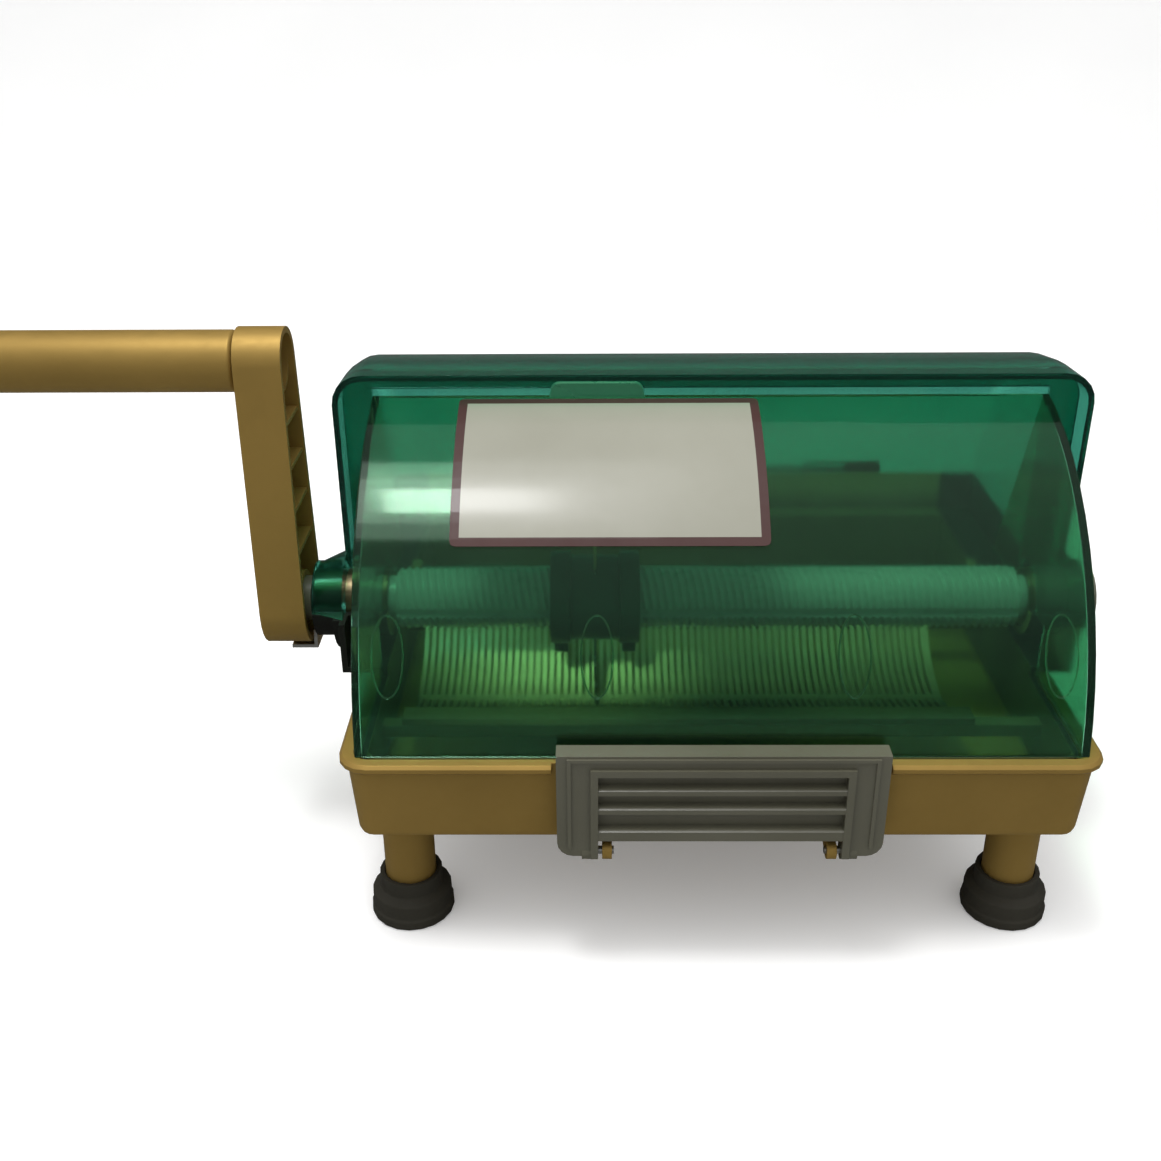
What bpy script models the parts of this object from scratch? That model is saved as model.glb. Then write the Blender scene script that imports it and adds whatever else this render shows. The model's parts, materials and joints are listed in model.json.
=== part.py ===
"""Rotary vegetable cutter: a hand crank turns a lead screw that spins two knives along a slotted trough.

Every piece is drawn in one machine frame, in metres: X runs along the lead screw with the crank at -X,
Y runs from the front latch (-Y) to the rear hinge (+Y), and Z is up. The lead screw's axis is Y = Z = 0
there, and the root empty lifts it all, so that the feet stand on Z = 0 around the world origin.
"""

from math import atan2, cos, pi, radians, sin, sqrt

import bmesh
import bpy
from mathutils import Matrix, Vector

# Clearances
GAP = 0.0003
RUNNING_GAP = 0.0007

# Facets round the main cylinders
ROUND_SEGMENTS = 28

# Lead screw, its journals and bushes
SCREW_R = 0.0127
SCREW_END_GAP = 0.0030
SCREW_CHAMFER = 0.0010
AXIS_HEIGHT = 0.1095
JOURNAL_R = 0.0090
BUSH_WALL = 0.0027
DRIVE_R = 0.0050
DRIVE_LENGTH = 0.0140
KEY_WIDTH = 0.0042
KEYWAY_DEPTH = 0.0022
KEYWAY_TILT = radians(7.0)
RETAINER_WIDTH = 0.0024
RETAINER_RISE = 0.0022

# Base tray
TRAY_HALF_WIDTH = 0.1395
TRAY_FRONT = -0.0911
TRAY_REAR = 0.1400
TRAY_RIM_Z = -0.0222
TRAY_DEPTH = 0.0350
TRAY_WALL = 0.0025
TRAY_DRAFT = 0.0022
TRAY_CORNER_R = 0.0085
RIM_HEIGHT = 0.0040
RIM_STEP = 0.0028
RIM_ROUND = 0.0012
FLOOR_ROUND = 0.0030
ROUND_MIDDLE = 1 - cos(pi / 4)

# Legs and feet
LEG_SIDE_INSET = 0.0200
LEG_FRONT_INSET = 0.0300
LEG_REAR_INSET = 0.0300
LEG_R = 0.0101
FOOT_NECK_R = 0.0125
FOOT_FLANGE_R = 0.0166
FOOT_HEIGHT = 0.0192
FOOT_FLANGE_HEIGHT = 0.0108
FOOT_LIP_HEIGHT = 0.0040
FOOT_GROOVE = 0.0007
FOOT_FLOOR = 0.0045
LEG_SCREW_R = 0.0020
LEG_SCREW_LENGTH = 0.0140
LEG_SCREW_HEAD_R = 0.0036
LEG_SCREW_HEAD_HEIGHT = 0.0024
LEG_SCREW_HEAD_CHAMFER = 0.0014

# Inner frame
FRAME_SIDE_INSET = 0.0080
FRAME_WALL = 0.0025
FRAME_FRONT_GAP = 0.0029
FRAME_REAR_GAP = 0.0035
FRAME_FLOOR_GAP = 0.0036
FRAME_FRONT_DROP = 0.0016
FRAME_CHEEK_FRONT = -0.0240
BOSS_R = 0.0155
BOSS_REACH_LEFT = 0.0120
BOSS_REACH_RIGHT = 0.0050
BOSS_STEP_RISE = 0.0050
BOSS_STEP_WIDTH = 0.0030

# Slotted trough, a concave grate under the knives
KNIFE_TIP_R = 0.0465
GRATE_CLEARANCE = 0.0016
GRATE_THICKNESS = 0.0026
GRATE_HALF_ANGLE = radians(52.0)
GRATE_LEFT_INSET = 0.0080
GRATE_RIGHT_INSET = 0.0290
GRATE_PITCH = 0.0031
GRATE_SLOT = 0.0013
GRATE_SPINE = radians(5.0)
GRATE_FLANGE = 0.0090
GRATE_LIP = 0.0025
RAIL_WIDTH = 0.0060
RAIL_HEIGHT = 0.0050

# Carriage, its guide bar and the knife head
HEAD_X = -0.0454
HUB_HALF_LENGTH = 0.0097
HUB_R = 0.0175
NUT_R = 0.0190
NUT_LENGTH = 0.0080
NUT_SHOULDER = 0.0006
NUT_FOOT_DROP = 0.0040
NUT_FOOT_HALF_WIDTH = 0.0050
NUT_FOOT_ROOT = 0.0038
NUT_ARM_RISE = 0.0142
NUT_ARM_FALL = 0.0171
GUIDE_BAR = 0.0060
GUIDE_Y = 0.0620
GUIDE_Z = -0.0200
GUIDE_SOCKET_WALL = 0.0019
GUIDE_SOCKET_DEPTH = 0.0040
SHOE_FRONT_WALL = 0.0015
SHOE_WALL = 0.0032
ARM_PLATE_HALF_HEIGHT = 0.0060
KNIFE_THICKNESS = 0.0010
KNIFE_ROOT_HALF_WIDTH = 0.0085
KNIFE_BELLY_HALF_WIDTH = 0.0125
KNIFE_ROOT_R = 0.0143
KNIFE_WAIST_R = 0.0295
KNIFE_TIP_HALF_WIDTH = 0.0095
KNIFE_SLOT_GAP = 0.0003

# Green cover: curved front and rear hood
COVER_WALL = 0.0024
FRONT_OVERHANG = 0.0014
FRONT_ARC_R = 0.1230
FRONT_TOP_Y = 0.0126
FRONT_TOP_Z = 0.0830
FRONT_BOTTOM_SETBACK = 0.0049
FRONT_BOTTOM_RISE = 0.0006
CHEEK_REAR_Y = 0.0466
CHEEK_STEP_Y = -0.0270
TAB_HALF_WIDTH = 0.0187
TAB_X = -0.0445
TAB_HEIGHT = 0.0135
TAB_Y = -0.0002
TAB_CORNER = 0.0010
TAB_SHOULDER_INSET = 0.0015
TAB_SHOULDER_HEIGHT = 0.0115
TAB_TOP_INSET = 0.0037
HOOD_OVERHANG = 0.0080
HOOD_FRONT = 0.0030
HOOD_TOP = 0.0940
HOOD_REAR = 0.1410
HOOD_CORNER_R = 0.0120
HOOD_FLANGE_Y = 0.0132

# Cover hinge
HINGE_PIN_R = 0.0018
KNUCKLE_R = 0.0042
HINGE_SETBACK = 0.0050
KNUCKLE_INSET = 0.0575
KNUCKLE_LENGTH = 0.0180

# Front latch, its frames and slats measured down from its top
LATCH_HALF_WIDTH = 0.0595
LATCH_DEPTH = 0.0066
LATCH_GAP = 0.0006
LATCH_LIP_HEIGHT = 0.0069
LATCH_LIP_SETBACK = 0.0032
LATCH_HEIGHT = 0.0435
LATCH_CORNER_R = 0.0060
LATCH_MIDDLE_HEIGHT = 0.0359
LATCH_BEAD_INSET = 0.0039
LATCH_BEAD_WIDTH = 0.0014
LATCH_BEAD_DROP = 0.0010
LATCH_BEAD_RISE = 0.0008
LATCH_FRAME_INSET = 0.0123
LATCH_FRAME_WIDTH = 0.0027
LATCH_FRAME_DROP = 0.0053
LATCH_FRAME_RISE = 0.0015
LATCH_RECESS = 0.0026
SLAT_DROPS = (0.0133, 0.0214)
SLAT_HEIGHT = 0.0027
RAIL_DROP = 0.0312
LATCH_PIN_R = 0.0015
LATCH_PIN_DROP = 0.0003
LATCH_PIN_FORWARD = 0.0043
LUG_THICKNESS = 0.0036
LUG_R = 0.0034
LUG_GAP = 0.0015
PRONG_WIDTH = 0.0060
PRONG_R = 0.0034

# Crank arm and handle
ARM_LENGTH = 0.1010
ARM_THICKNESS = 0.0180
ARM_WALL = 0.0024
ARM_SHAFT_R = 0.0180
ARM_GRIP_R = 0.0130
ARM_GAP = 0.0025
ARM_HUB_WALL = 0.0022
ARM_RIB_COUNT = 4
ARM_RIB_START = 0.0253
ARM_RIB_PITCH = 0.0177
ARM_RIB_THICKNESS = 0.0016
ARM_RIB_SETBACK = 0.0008
INSERT_R = 0.0093
INSERT_STANDOFF = 0.0010
SOCKET_WALL = 0.0015
CLIP_THICKNESS = 0.0015
CLIP_WIDTH = 0.0140
AXLE_R = 0.0040
AXLE_HEAD_R = 0.0070
AXLE_HEAD_LENGTH = 0.0030
AXLE_HEAD_CHAMFER = 0.0018
GRIP_R = 0.0118
GRIP_LENGTH = 0.0970
GRIP_END_WALL = 0.0030
GRIP_CAP_DEPTH = 0.0050
GRIP_CAP_INSET = 0.0045
GRIP_ROUND = 0.0012

# Places worked out from the sizes above
BUSH_INNER_R = JOURNAL_R + GAP
BUSH_OUTER_R = BUSH_INNER_R + BUSH_WALL
FLOOR_OUTER_Z = TRAY_RIM_Z - TRAY_DEPTH
FLOOR_INNER_Z = FLOOR_OUTER_Z + TRAY_WALL
TRAY_BODY_HALF_WIDTH = TRAY_HALF_WIDTH - RIM_STEP
TRAY_BODY_FRONT = TRAY_FRONT + RIM_STEP
TRAY_BODY_REAR = TRAY_REAR - RIM_STEP
GROUND_Z = -AXIS_HEIGHT
LEG_X = TRAY_HALF_WIDTH - LEG_SIDE_INSET
FRAME_HALF_WIDTH = TRAY_HALF_WIDTH - FRAME_SIDE_INSET
FRAME_INNER_HALF_WIDTH = FRAME_HALF_WIDTH - FRAME_WALL
SCREW_HALF_LENGTH = FRAME_INNER_HALF_WIDTH - SCREW_END_GAP
GRATE_LEFT = GRATE_LEFT_INSET - FRAME_INNER_HALF_WIDTH
GRATE_RIGHT = FRAME_INNER_HALF_WIDTH - GRATE_RIGHT_INSET
FRONT_HALF_WIDTH = FRAME_HALF_WIDTH + FRONT_OVERHANG
HOOD_HALF_WIDTH = TRAY_HALF_WIDTH + HOOD_OVERHANG
KNUCKLE_X = HOOD_HALF_WIDTH - KNUCKLE_INSET
FRAME_FRONT = TRAY_BODY_FRONT + TRAY_WALL + FRAME_FRONT_GAP
FRAME_REAR = TRAY_BODY_REAR - TRAY_WALL - FRAME_REAR_GAP
FRAME_BOTTOM_Z = FLOOR_INNER_Z + FRAME_FLOOR_GAP
LEDGE_Z = TRAY_RIM_Z + GAP
CHEEK_Z = LEDGE_Z + FRAME_WALL
PARTING = GAP / 2
BOSS_ENDS = {-1: HOOD_HALF_WIDTH + BOSS_REACH_LEFT, 1: HOOD_HALF_WIDTH + BOSS_REACH_RIGHT}
WIDEST = HOOD_HALF_WIDTH + 2 * BOSS_REACH_LEFT
ARM_INNER_X = -(BOSS_ENDS[-1] + ARM_GAP)
ARM_OUTER_X = ARM_INNER_X - ARM_THICKNESS
GRIP_START_X = ARM_OUTER_X - RUNNING_GAP
GRIP_END_X = GRIP_START_X - GRIP_LENGTH
GRATE_R = KNIFE_TIP_R + GRATE_CLEARANCE
GRATE_EDGE_Y = GRATE_R * sin(GRATE_HALF_ANGLE)
GRATE_EDGE_Z = -GRATE_R * cos(GRATE_HALF_ANGLE)
GRATE_FLANGE_END = GRATE_EDGE_Y + GRATE_FLANGE
RAIL_TOP_Z = GRATE_EDGE_Z - GRATE_THICKNESS - GAP
HINGE_Y = HOOD_REAR + HINGE_SETBACK
FRONT_BOTTOM_Y = TRAY_FRONT + FRONT_BOTTOM_SETBACK
FRONT_BOTTOM_Z = TRAY_RIM_Z + FRONT_BOTTOM_RISE
LATCH_REAR = TRAY_BODY_FRONT - LATCH_GAP
LATCH_FACE = LATCH_REAR - LATCH_DEPTH
LATCH_FRONT = LATCH_FACE - LATCH_FRAME_RISE
LATCH_LIP_Z = TRAY_RIM_Z + LATCH_GAP
LATCH_TOP_Z = LATCH_LIP_Z + LATCH_LIP_HEIGHT
LATCH_OPENING = LATCH_HALF_WIDTH - LATCH_FRAME_INSET - LATCH_FRAME_WIDTH
LUG_X = LATCH_OPENING - LUG_GAP - LUG_THICKNESS / 2
LATCH_PIN_Y = TRAY_FRONT + RIM_STEP - LATCH_PIN_FORWARD
LATCH_PIN_Z = FLOOR_OUTER_Z - LATCH_PIN_DROP

GREEN = (0.02, 0.20, 0.10, 1.0)
GOLD = (0.62, 0.42, 0.15, 1.0)
BLACK = (0.02, 0.02, 0.02, 1.0)
OLIVE = (0.13, 0.20, 0.05, 1.0)
STEEL = (0.60, 0.60, 0.58, 1.0)
GREY = (0.13, 0.13, 0.11, 1.0)
RUBBER = (0.07, 0.07, 0.055, 1.0)
BRASS = (0.55, 0.42, 0.20, 1.0)

ALONG_X = Matrix.Rotation(pi / 2, 4, "Y")
PIVOT_PLACES = {}


def clear_scene():
    for old in list(bpy.data.objects):
        bpy.data.objects.remove(old, do_unlink=True)


def collection(name):
    made = bpy.data.collections.new(name)
    bpy.context.scene.collection.children.link(made)
    return made


def material(name, colour, roughness, metallic):
    made = bpy.data.materials.new(name)
    made.use_nodes = True
    surface = made.node_tree.nodes["Principled BSDF"]
    surface.inputs["Base Color"].default_value = colour
    surface.inputs["Roughness"].default_value = roughness
    surface.inputs["Metallic"].default_value = metallic
    return made


def empty(name, place, parent=None):
    """A joint's pivot, at a point of the machine frame."""
    made = bpy.data.objects.new(name, None)
    made.empty_display_size = 0.02
    PARTS.objects.link(made)
    PIVOT_PLACES[name] = Vector(place)
    made.location = Vector(place) - (PIVOT_PLACES[parent.name] if parent else Vector())
    made.parent = parent
    return made


def make_object(name, mesh):
    made = bpy.data.objects.new(name, mesh)
    CUTTERS.objects.link(made)
    made.hide_render = True
    made.display_type = "WIRE"
    made.parent = ROOT
    return made


def mesh_from(name, fill):
    mesh = bpy.data.meshes.new(name)
    work = bmesh.new()
    fill(work)
    bmesh.ops.recalc_face_normals(work, faces=work.faces[:])
    work.to_mesh(mesh)
    work.free()
    return mesh


def box(name, low, high):
    """A block between two corners."""
    low, high = Vector(low), Vector(high)
    size = high - low

    def fill(work):
        scale = Matrix.Diagonal((*size, 1.0))
        bmesh.ops.create_cube(work, size=1.0, matrix=Matrix.Translation((low + high) / 2) @ scale)

    return make_object(name, mesh_from(name, fill))


def rod(name, start, end, radius, segments=24, end_radius=None):
    """A round bar, or a cone, between two points."""
    start, end = Vector(start), Vector(end)
    along = end - start
    turn = Vector((0, 0, 1)).rotation_difference(along).to_matrix().to_4x4()

    def fill(work):
        bmesh.ops.create_cone(
            work,
            cap_ends=True,
            segments=segments,
            radius1=radius,
            radius2=radius if end_radius is None else end_radius,
            depth=along.length,
            matrix=Matrix.Translation((start + end) / 2) @ turn,
        )

    return make_object(name, mesh_from(name, fill))


def rod_x(name, x0, x1, radius, y=0.0, z=0.0, segments=24):
    return rod(name, (x0, y, z), (x1, y, z), radius, segments)


def plate(name, outline, x0, x1):
    """A flat piece across X, from a closed outline of (y, z) points."""
    curve = bpy.data.curves.new(name, "CURVE")
    curve.dimensions = "2D"
    curve.fill_mode = "BOTH"
    curve.extrude = abs(x1 - x0) / 2
    line = curve.splines.new("POLY")
    line.points.add(len(outline) - 1)
    for point, (y, z) in zip(line.points, outline):
        point.co = (y, z, 0.0, 1.0)
    line.use_cyclic_u = True
    drawn = bpy.data.objects.new(name, curve)
    CUTTERS.objects.link(drawn)
    bpy.context.view_layer.update()
    shape = drawn.evaluated_get(bpy.context.evaluated_depsgraph_get())
    mesh = bpy.data.meshes.new_from_object(shape)
    bpy.data.objects.remove(drawn, do_unlink=True)
    bpy.data.curves.remove(curve)
    # the curve's own X, Y, Z become the machine's Y, Z, X
    mesh.transform(Matrix(((0, 0, 1, (x0 + x1) / 2), (1, 0, 0, 0), (0, 1, 0, 0), (0, 0, 0, 1))))
    work = bmesh.new()
    work.from_mesh(mesh)
    bmesh.ops.remove_doubles(work, verts=work.verts, dist=0.00001)
    bmesh.ops.recalc_face_normals(work, faces=work.faces[:])
    work.to_mesh(mesh)
    work.free()
    return make_object(name, mesh)


def turned(name, profile, segments, matrix):
    """A profile of (radius, height) points, from top to bottom, spun round its own axis."""
    mesh = bpy.data.meshes.new(name)
    points = [(r, 0.0, h) for r, h in profile]
    mesh.from_pydata(points, [(i, i + 1) for i in range(len(points) - 1)], [])
    made = make_object(name, mesh)
    made.matrix_local = matrix
    spin = made.modifiers.new("spin", "SCREW")
    spin.steps = spin.render_steps = segments
    spin.use_merge_vertices = True
    spin.merge_threshold = 0.00001
    return made


def loft(name, rings):
    """A closed solid through rings of equally many points, capped at both ends."""

    def fill(work):
        loops = [[work.verts.new(point) for point in ring] for ring in rings]
        count = len(loops[0])
        for lower, upper in zip(loops, loops[1:]):
            for i in range(count):
                j = (i + 1) % count
                work.faces.new((lower[i], lower[j], upper[j], upper[i]))
        work.faces.new(loops[0][::-1])
        work.faces.new(loops[-1])

    return make_object(name, mesh_from(name, fill))


def rounded_ring(half_width, front, rear, corner, z, steps=4):
    """Points of a rounded rectangle at one height."""
    ring = []
    corners = (
        (half_width - corner, rear - corner, 0.0),
        (corner - half_width, rear - corner, pi / 2),
        (corner - half_width, front + corner, pi),
        (half_width - corner, front + corner, 1.5 * pi),
    )
    for x, y, start in corners:
        for i in range(steps + 1):
            angle = start + i * pi / 2 / steps
            ring.append(Vector((x + corner * cos(angle), y + corner * sin(angle), z)))
    return ring


def boolean(target, tool, operation):
    change = target.modifiers.new(tool.name, "BOOLEAN")
    change.operation = operation
    change.object = tool
    change.solver = "EXACT"
    return target


def cut(target, *tools):
    for tool in tools:
        boolean(target, tool, "DIFFERENCE")
    return target


def join(target, *tools):
    for tool in tools:
        boolean(target, tool, "UNION")
    return target


def finish(made, name, look, pivot):
    """Make a solid a named part of the machine, carried by a pivot."""
    CUTTERS.objects.unlink(made)
    PARTS.objects.link(made)
    made.hide_render = False
    made.display_type = "TEXTURED"
    made.name = name
    made.data.materials.clear()
    made.data.materials.append(look)
    made.parent = pivot
    made.matrix_parent_inverse = Matrix.Translation(-PIVOT_PLACES[pivot.name])
    made.data.shade_smooth()
    made.data.set_sharp_from_angle(angle=radians(35))
    return made


def leg_places():
    front = TRAY_FRONT + LEG_FRONT_INSET
    rear = TRAY_REAR - LEG_REAR_INSET
    return {
        "front_left": (-LEG_X, front),
        "front_right": (LEG_X, front),
        "rear_left": (-LEG_X, rear),
        "rear_right": (LEG_X, rear),
    }


def build_tray(gold):
    top = TRAY_RIM_Z
    bottom_inset = TRAY_DRAFT + FLOOR_ROUND
    rings = []
    outer = (
        (bottom_inset, FLOOR_OUTER_Z),
        (TRAY_DRAFT + ROUND_MIDDLE * FLOOR_ROUND, FLOOR_OUTER_Z + ROUND_MIDDLE * FLOOR_ROUND),
        (TRAY_DRAFT, FLOOR_OUTER_Z + FLOOR_ROUND),
        (0.0, top - RIM_HEIGHT),
        (RIM_ROUND - RIM_STEP, top - RIM_HEIGHT),
        (-RIM_STEP, top - RIM_HEIGHT + RIM_ROUND),
        (-RIM_STEP, top - RIM_ROUND),
        (RIM_ROUND - RIM_STEP, top),
        (TRAY_WALL, top),
        (TRAY_DRAFT + TRAY_WALL, FLOOR_INNER_Z + FLOOR_ROUND),
        (bottom_inset + TRAY_WALL, FLOOR_INNER_Z),
    )
    for inset, z in outer:
        rings.append(
            rounded_ring(
                TRAY_BODY_HALF_WIDTH - inset,
                TRAY_BODY_FRONT + inset,
                TRAY_BODY_REAR - inset,
                TRAY_CORNER_R - inset,
                z,
            )
        )
    tray = loft("tray_blank", rings)
    for side in (-1, 1):
        x0 = side * (LUG_X - LUG_THICKNESS / 2)
        x1 = side * (LUG_X + LUG_THICKNESS / 2)
        lug = rod_x("lug_eye", x0, x1, LUG_R, LATCH_PIN_Y, LATCH_PIN_Z)
        arm = plate(
            "lug_arm",
            [
                (LATCH_PIN_Y, LATCH_PIN_Z - LUG_R),
                (TRAY_BODY_FRONT + 4 * FLOOR_ROUND, FLOOR_OUTER_Z + TRAY_WALL / 2),
                (LATCH_PIN_Y, LATCH_PIN_Z + LUG_R),
            ],
            x0,
            x1,
        )
        join(tray, lug, arm)
    hole = rod_x("lug_hole", -LUG_X - LUG_THICKNESS, LUG_X + LUG_THICKNESS,
                 LATCH_PIN_R + GAP, LATCH_PIN_Y, LATCH_PIN_Z, 16)
    notch_half = LATCH_HALF_WIDTH + 3 * LATCH_GAP
    notch = box(
        "rim_notch",
        (-notch_half, TRAY_FRONT - RIM_STEP, top - 2 * RIM_HEIGHT),
        (notch_half, TRAY_BODY_FRONT, top + RIM_STEP),
    )
    cut(tray, hole, notch)
    for x, y in leg_places().values():
        cut(tray, rod("leg_screw_hole", (x, y, FLOOR_OUTER_Z - TRAY_WALL),
                      (x, y, FLOOR_INNER_Z + TRAY_WALL), LEG_SCREW_R + GAP, 12))
    finish(tray, "base_tray", gold, ROOT)


def build_legs(gold, rubber, steel):
    leg_top = FLOOR_OUTER_Z - GAP
    leg_bottom = GROUND_Z + FOOT_FLOOR + GAP
    cup_r = LEG_R + GAP
    for where, (x, y) in leg_places().items():
        leg = rod("leg_blank", (x, y, leg_bottom), (x, y, leg_top), LEG_R, 20)
        bore_depth = LEG_SCREW_LENGTH - TRAY_WALL + GAP
        cut(leg, rod("leg_bore", (x, y, leg_top - bore_depth), (x, y, leg_top + GAP),
                     LEG_SCREW_R + GAP, 12))
        finish(leg, f"leg_{where}", gold, ROOT)
        foot = turned(
            "foot_blank",
            [
                (cup_r, FOOT_HEIGHT),
                (FOOT_NECK_R, FOOT_HEIGHT),
                (FOOT_NECK_R, FOOT_FLANGE_HEIGHT + (FOOT_FLANGE_R - FOOT_NECK_R) / 2),
                (FOOT_FLANGE_R - FOOT_GROOVE, FOOT_FLANGE_HEIGHT),
                (FOOT_FLANGE_R - FOOT_GROOVE, FOOT_LIP_HEIGHT + FOOT_GROOVE),
                (FOOT_FLANGE_R, FOOT_LIP_HEIGHT),
                (FOOT_FLANGE_R, FOOT_GROOVE),
                (FOOT_FLANGE_R - FOOT_GROOVE, 0.0),
                (0.0, 0.0),
                (0.0, FOOT_FLOOR),
                (cup_r, FOOT_FLOOR),
                (cup_r, FOOT_HEIGHT),
            ],
            20,
            Matrix.Translation((x, y, GROUND_Z)),
        )
        finish(foot, f"foot_{where}", rubber, ROOT)
        head_z = FLOOR_INNER_Z + GAP
        screw = turned(
            "leg_screw",
            [
                (0.0, LEG_SCREW_HEAD_HEIGHT),
                (LEG_SCREW_HEAD_R - LEG_SCREW_HEAD_CHAMFER, LEG_SCREW_HEAD_HEIGHT),
                (LEG_SCREW_HEAD_R, LEG_SCREW_HEAD_HEIGHT - LEG_SCREW_HEAD_CHAMFER),
                (LEG_SCREW_HEAD_R, 0.0),
                (LEG_SCREW_R, 0.0),
                (LEG_SCREW_R, -LEG_SCREW_LENGTH),
                (0.0, -LEG_SCREW_LENGTH),
            ],
            8,
            Matrix.Translation((x, y, head_z)),
        )
        finish(screw, f"leg_screw_{where}", steel, ROOT)


def build_frame(black):
    """The black liner: trough walls inside the tray, a ledge on its rim and the lower half bearings."""
    outer, inner = FRAME_HALF_WIDTH, FRAME_INNER_HALF_WIDTH
    front_top = TRAY_RIM_Z - FRAME_FRONT_DROP
    below = FRAME_WALL
    corner = TRAY_CORNER_R - TRAY_WALL
    rings = [rounded_ring(outer, FRAME_FRONT, FRAME_REAR, corner, z) for z in (FRAME_BOTTOM_Z, front_top)]
    frame = loft("liner", rings)
    join(
        frame,
        box("liner_top", (-outer, FRAME_CHEEK_FRONT, front_top - below), (outer, FRAME_REAR, CHEEK_Z)),
        box(
            "cheeks",
            (-HOOD_HALF_WIDTH, FRAME_CHEEK_FRONT, LEDGE_Z),
            (HOOD_HALF_WIDTH, HOOD_REAR, -PARTING),
        ),
    )
    rings = [
        rounded_ring(inner, FRAME_FRONT + FRAME_WALL, FRAME_REAR - FRAME_WALL, corner - FRAME_WALL, z)
        for z in (FRAME_BOTTOM_Z - below, AXIS_HEIGHT)
    ]
    cut(
        frame,
        loft("liner_inside", rings),
        box(
            "cheek_inside",
            (-HOOD_HALF_WIDTH + FRAME_WALL, FRAME_CHEEK_FRONT - below, CHEEK_Z),
            (HOOD_HALF_WIDTH - FRAME_WALL, HOOD_REAR - FRAME_WALL, AXIS_HEIGHT),
        ),
    )
    half_bore = BUSH_OUTER_R + GAP
    step_r = BOSS_R + BOSS_STEP_RISE
    for side in (-1, 1):
        end = side * BOSS_ENDS[side]
        boss = rod_x("boss", side * inner, end, BOSS_R, segments=ROUND_SEGMENTS)
        wall_x = side * (HOOD_HALF_WIDTH - FRAME_WALL / 2)
        step_x = side * (HOOD_HALF_WIDTH + BOSS_STEP_WIDTH)
        step = rod_x("boss_step", wall_x, step_x, step_r, segments=ROUND_SEGMENTS)
        for blank in (boss, step):
            cut(blank, box("upper_half", (-WIDEST, -2 * step_r, -PARTING), (WIDEST, 2 * step_r, step_r)))
        bore_start = side * (inner - FRAME_WALL)
        bore = rod_x("bore", bore_start, end + side * FRAME_WALL, half_bore, segments=ROUND_SEGMENTS)
        socket = box(
            "guide_socket",
            (
                side * (inner - GUIDE_SOCKET_DEPTH),
                GUIDE_Y - GUIDE_BAR / 2 - GAP - GUIDE_SOCKET_WALL,
                GUIDE_Z - GUIDE_BAR / 2 - GAP - GUIDE_SOCKET_WALL,
            ),
            (
                side * (inner + FRAME_WALL / 2),
                GUIDE_Y + GUIDE_BAR / 2 + GAP + GUIDE_SOCKET_WALL,
                GUIDE_Z + GUIDE_BAR / 2 + GAP + GUIDE_SOCKET_WALL,
            ),
        )
        join(frame, boss, step, socket)
        cut(frame, bore)
    for side in (-1, 1):
        y0 = side * (GRATE_FLANGE_END - RAIL_WIDTH)
        y1 = side * GRATE_FLANGE_END
        rail = box(
            "grate_rail",
            (-inner - FRAME_WALL / 2, min(y0, y1), RAIL_TOP_Z - RAIL_HEIGHT),
            (inner + FRAME_WALL / 2, max(y0, y1), RAIL_TOP_Z),
        )
        join(frame, rail)
        join(frame, knuckle("frame_knuckle", side * KNUCKLE_X, -1))
    guide_end = inner - GAP
    slot = GUIDE_BAR / 2 + GAP
    cut(
        frame,
        box(
            "guide_hole",
            (-guide_end, GUIDE_Y - slot, GUIDE_Z - slot),
            (guide_end, GUIDE_Y + slot, GUIDE_Z + slot),
        ),
        hinge_hole(),
    )
    finish(frame, "inner_frame", black, ROOT)


def knuckle(name, x, up):
    """A hinge knuckle with its leaf, on the frame below the parting (up = -1) or on the hood above it."""
    x0, x1 = x - KNUCKLE_LENGTH / 2, x + KNUCKLE_LENGTH / 2
    eye = rod_x(name, x0, x1, KNUCKLE_R, HINGE_Y)
    z0 = up * PARTING
    z1 = up * (PARTING + KNUCKLE_R)
    leaf = box(
        name + "_leaf",
        (x0, HOOD_REAR - FRAME_WALL / 2, min(z0, z1)),
        (x1, HINGE_Y, max(z0, z1)),
    )
    return join(eye, leaf)


def hinge_hole():
    reach = KNUCKLE_X + 2 * KNUCKLE_LENGTH
    return rod_x("hinge_hole", -reach, reach, HINGE_PIN_R + GAP, HINGE_Y, segments=16)


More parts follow.
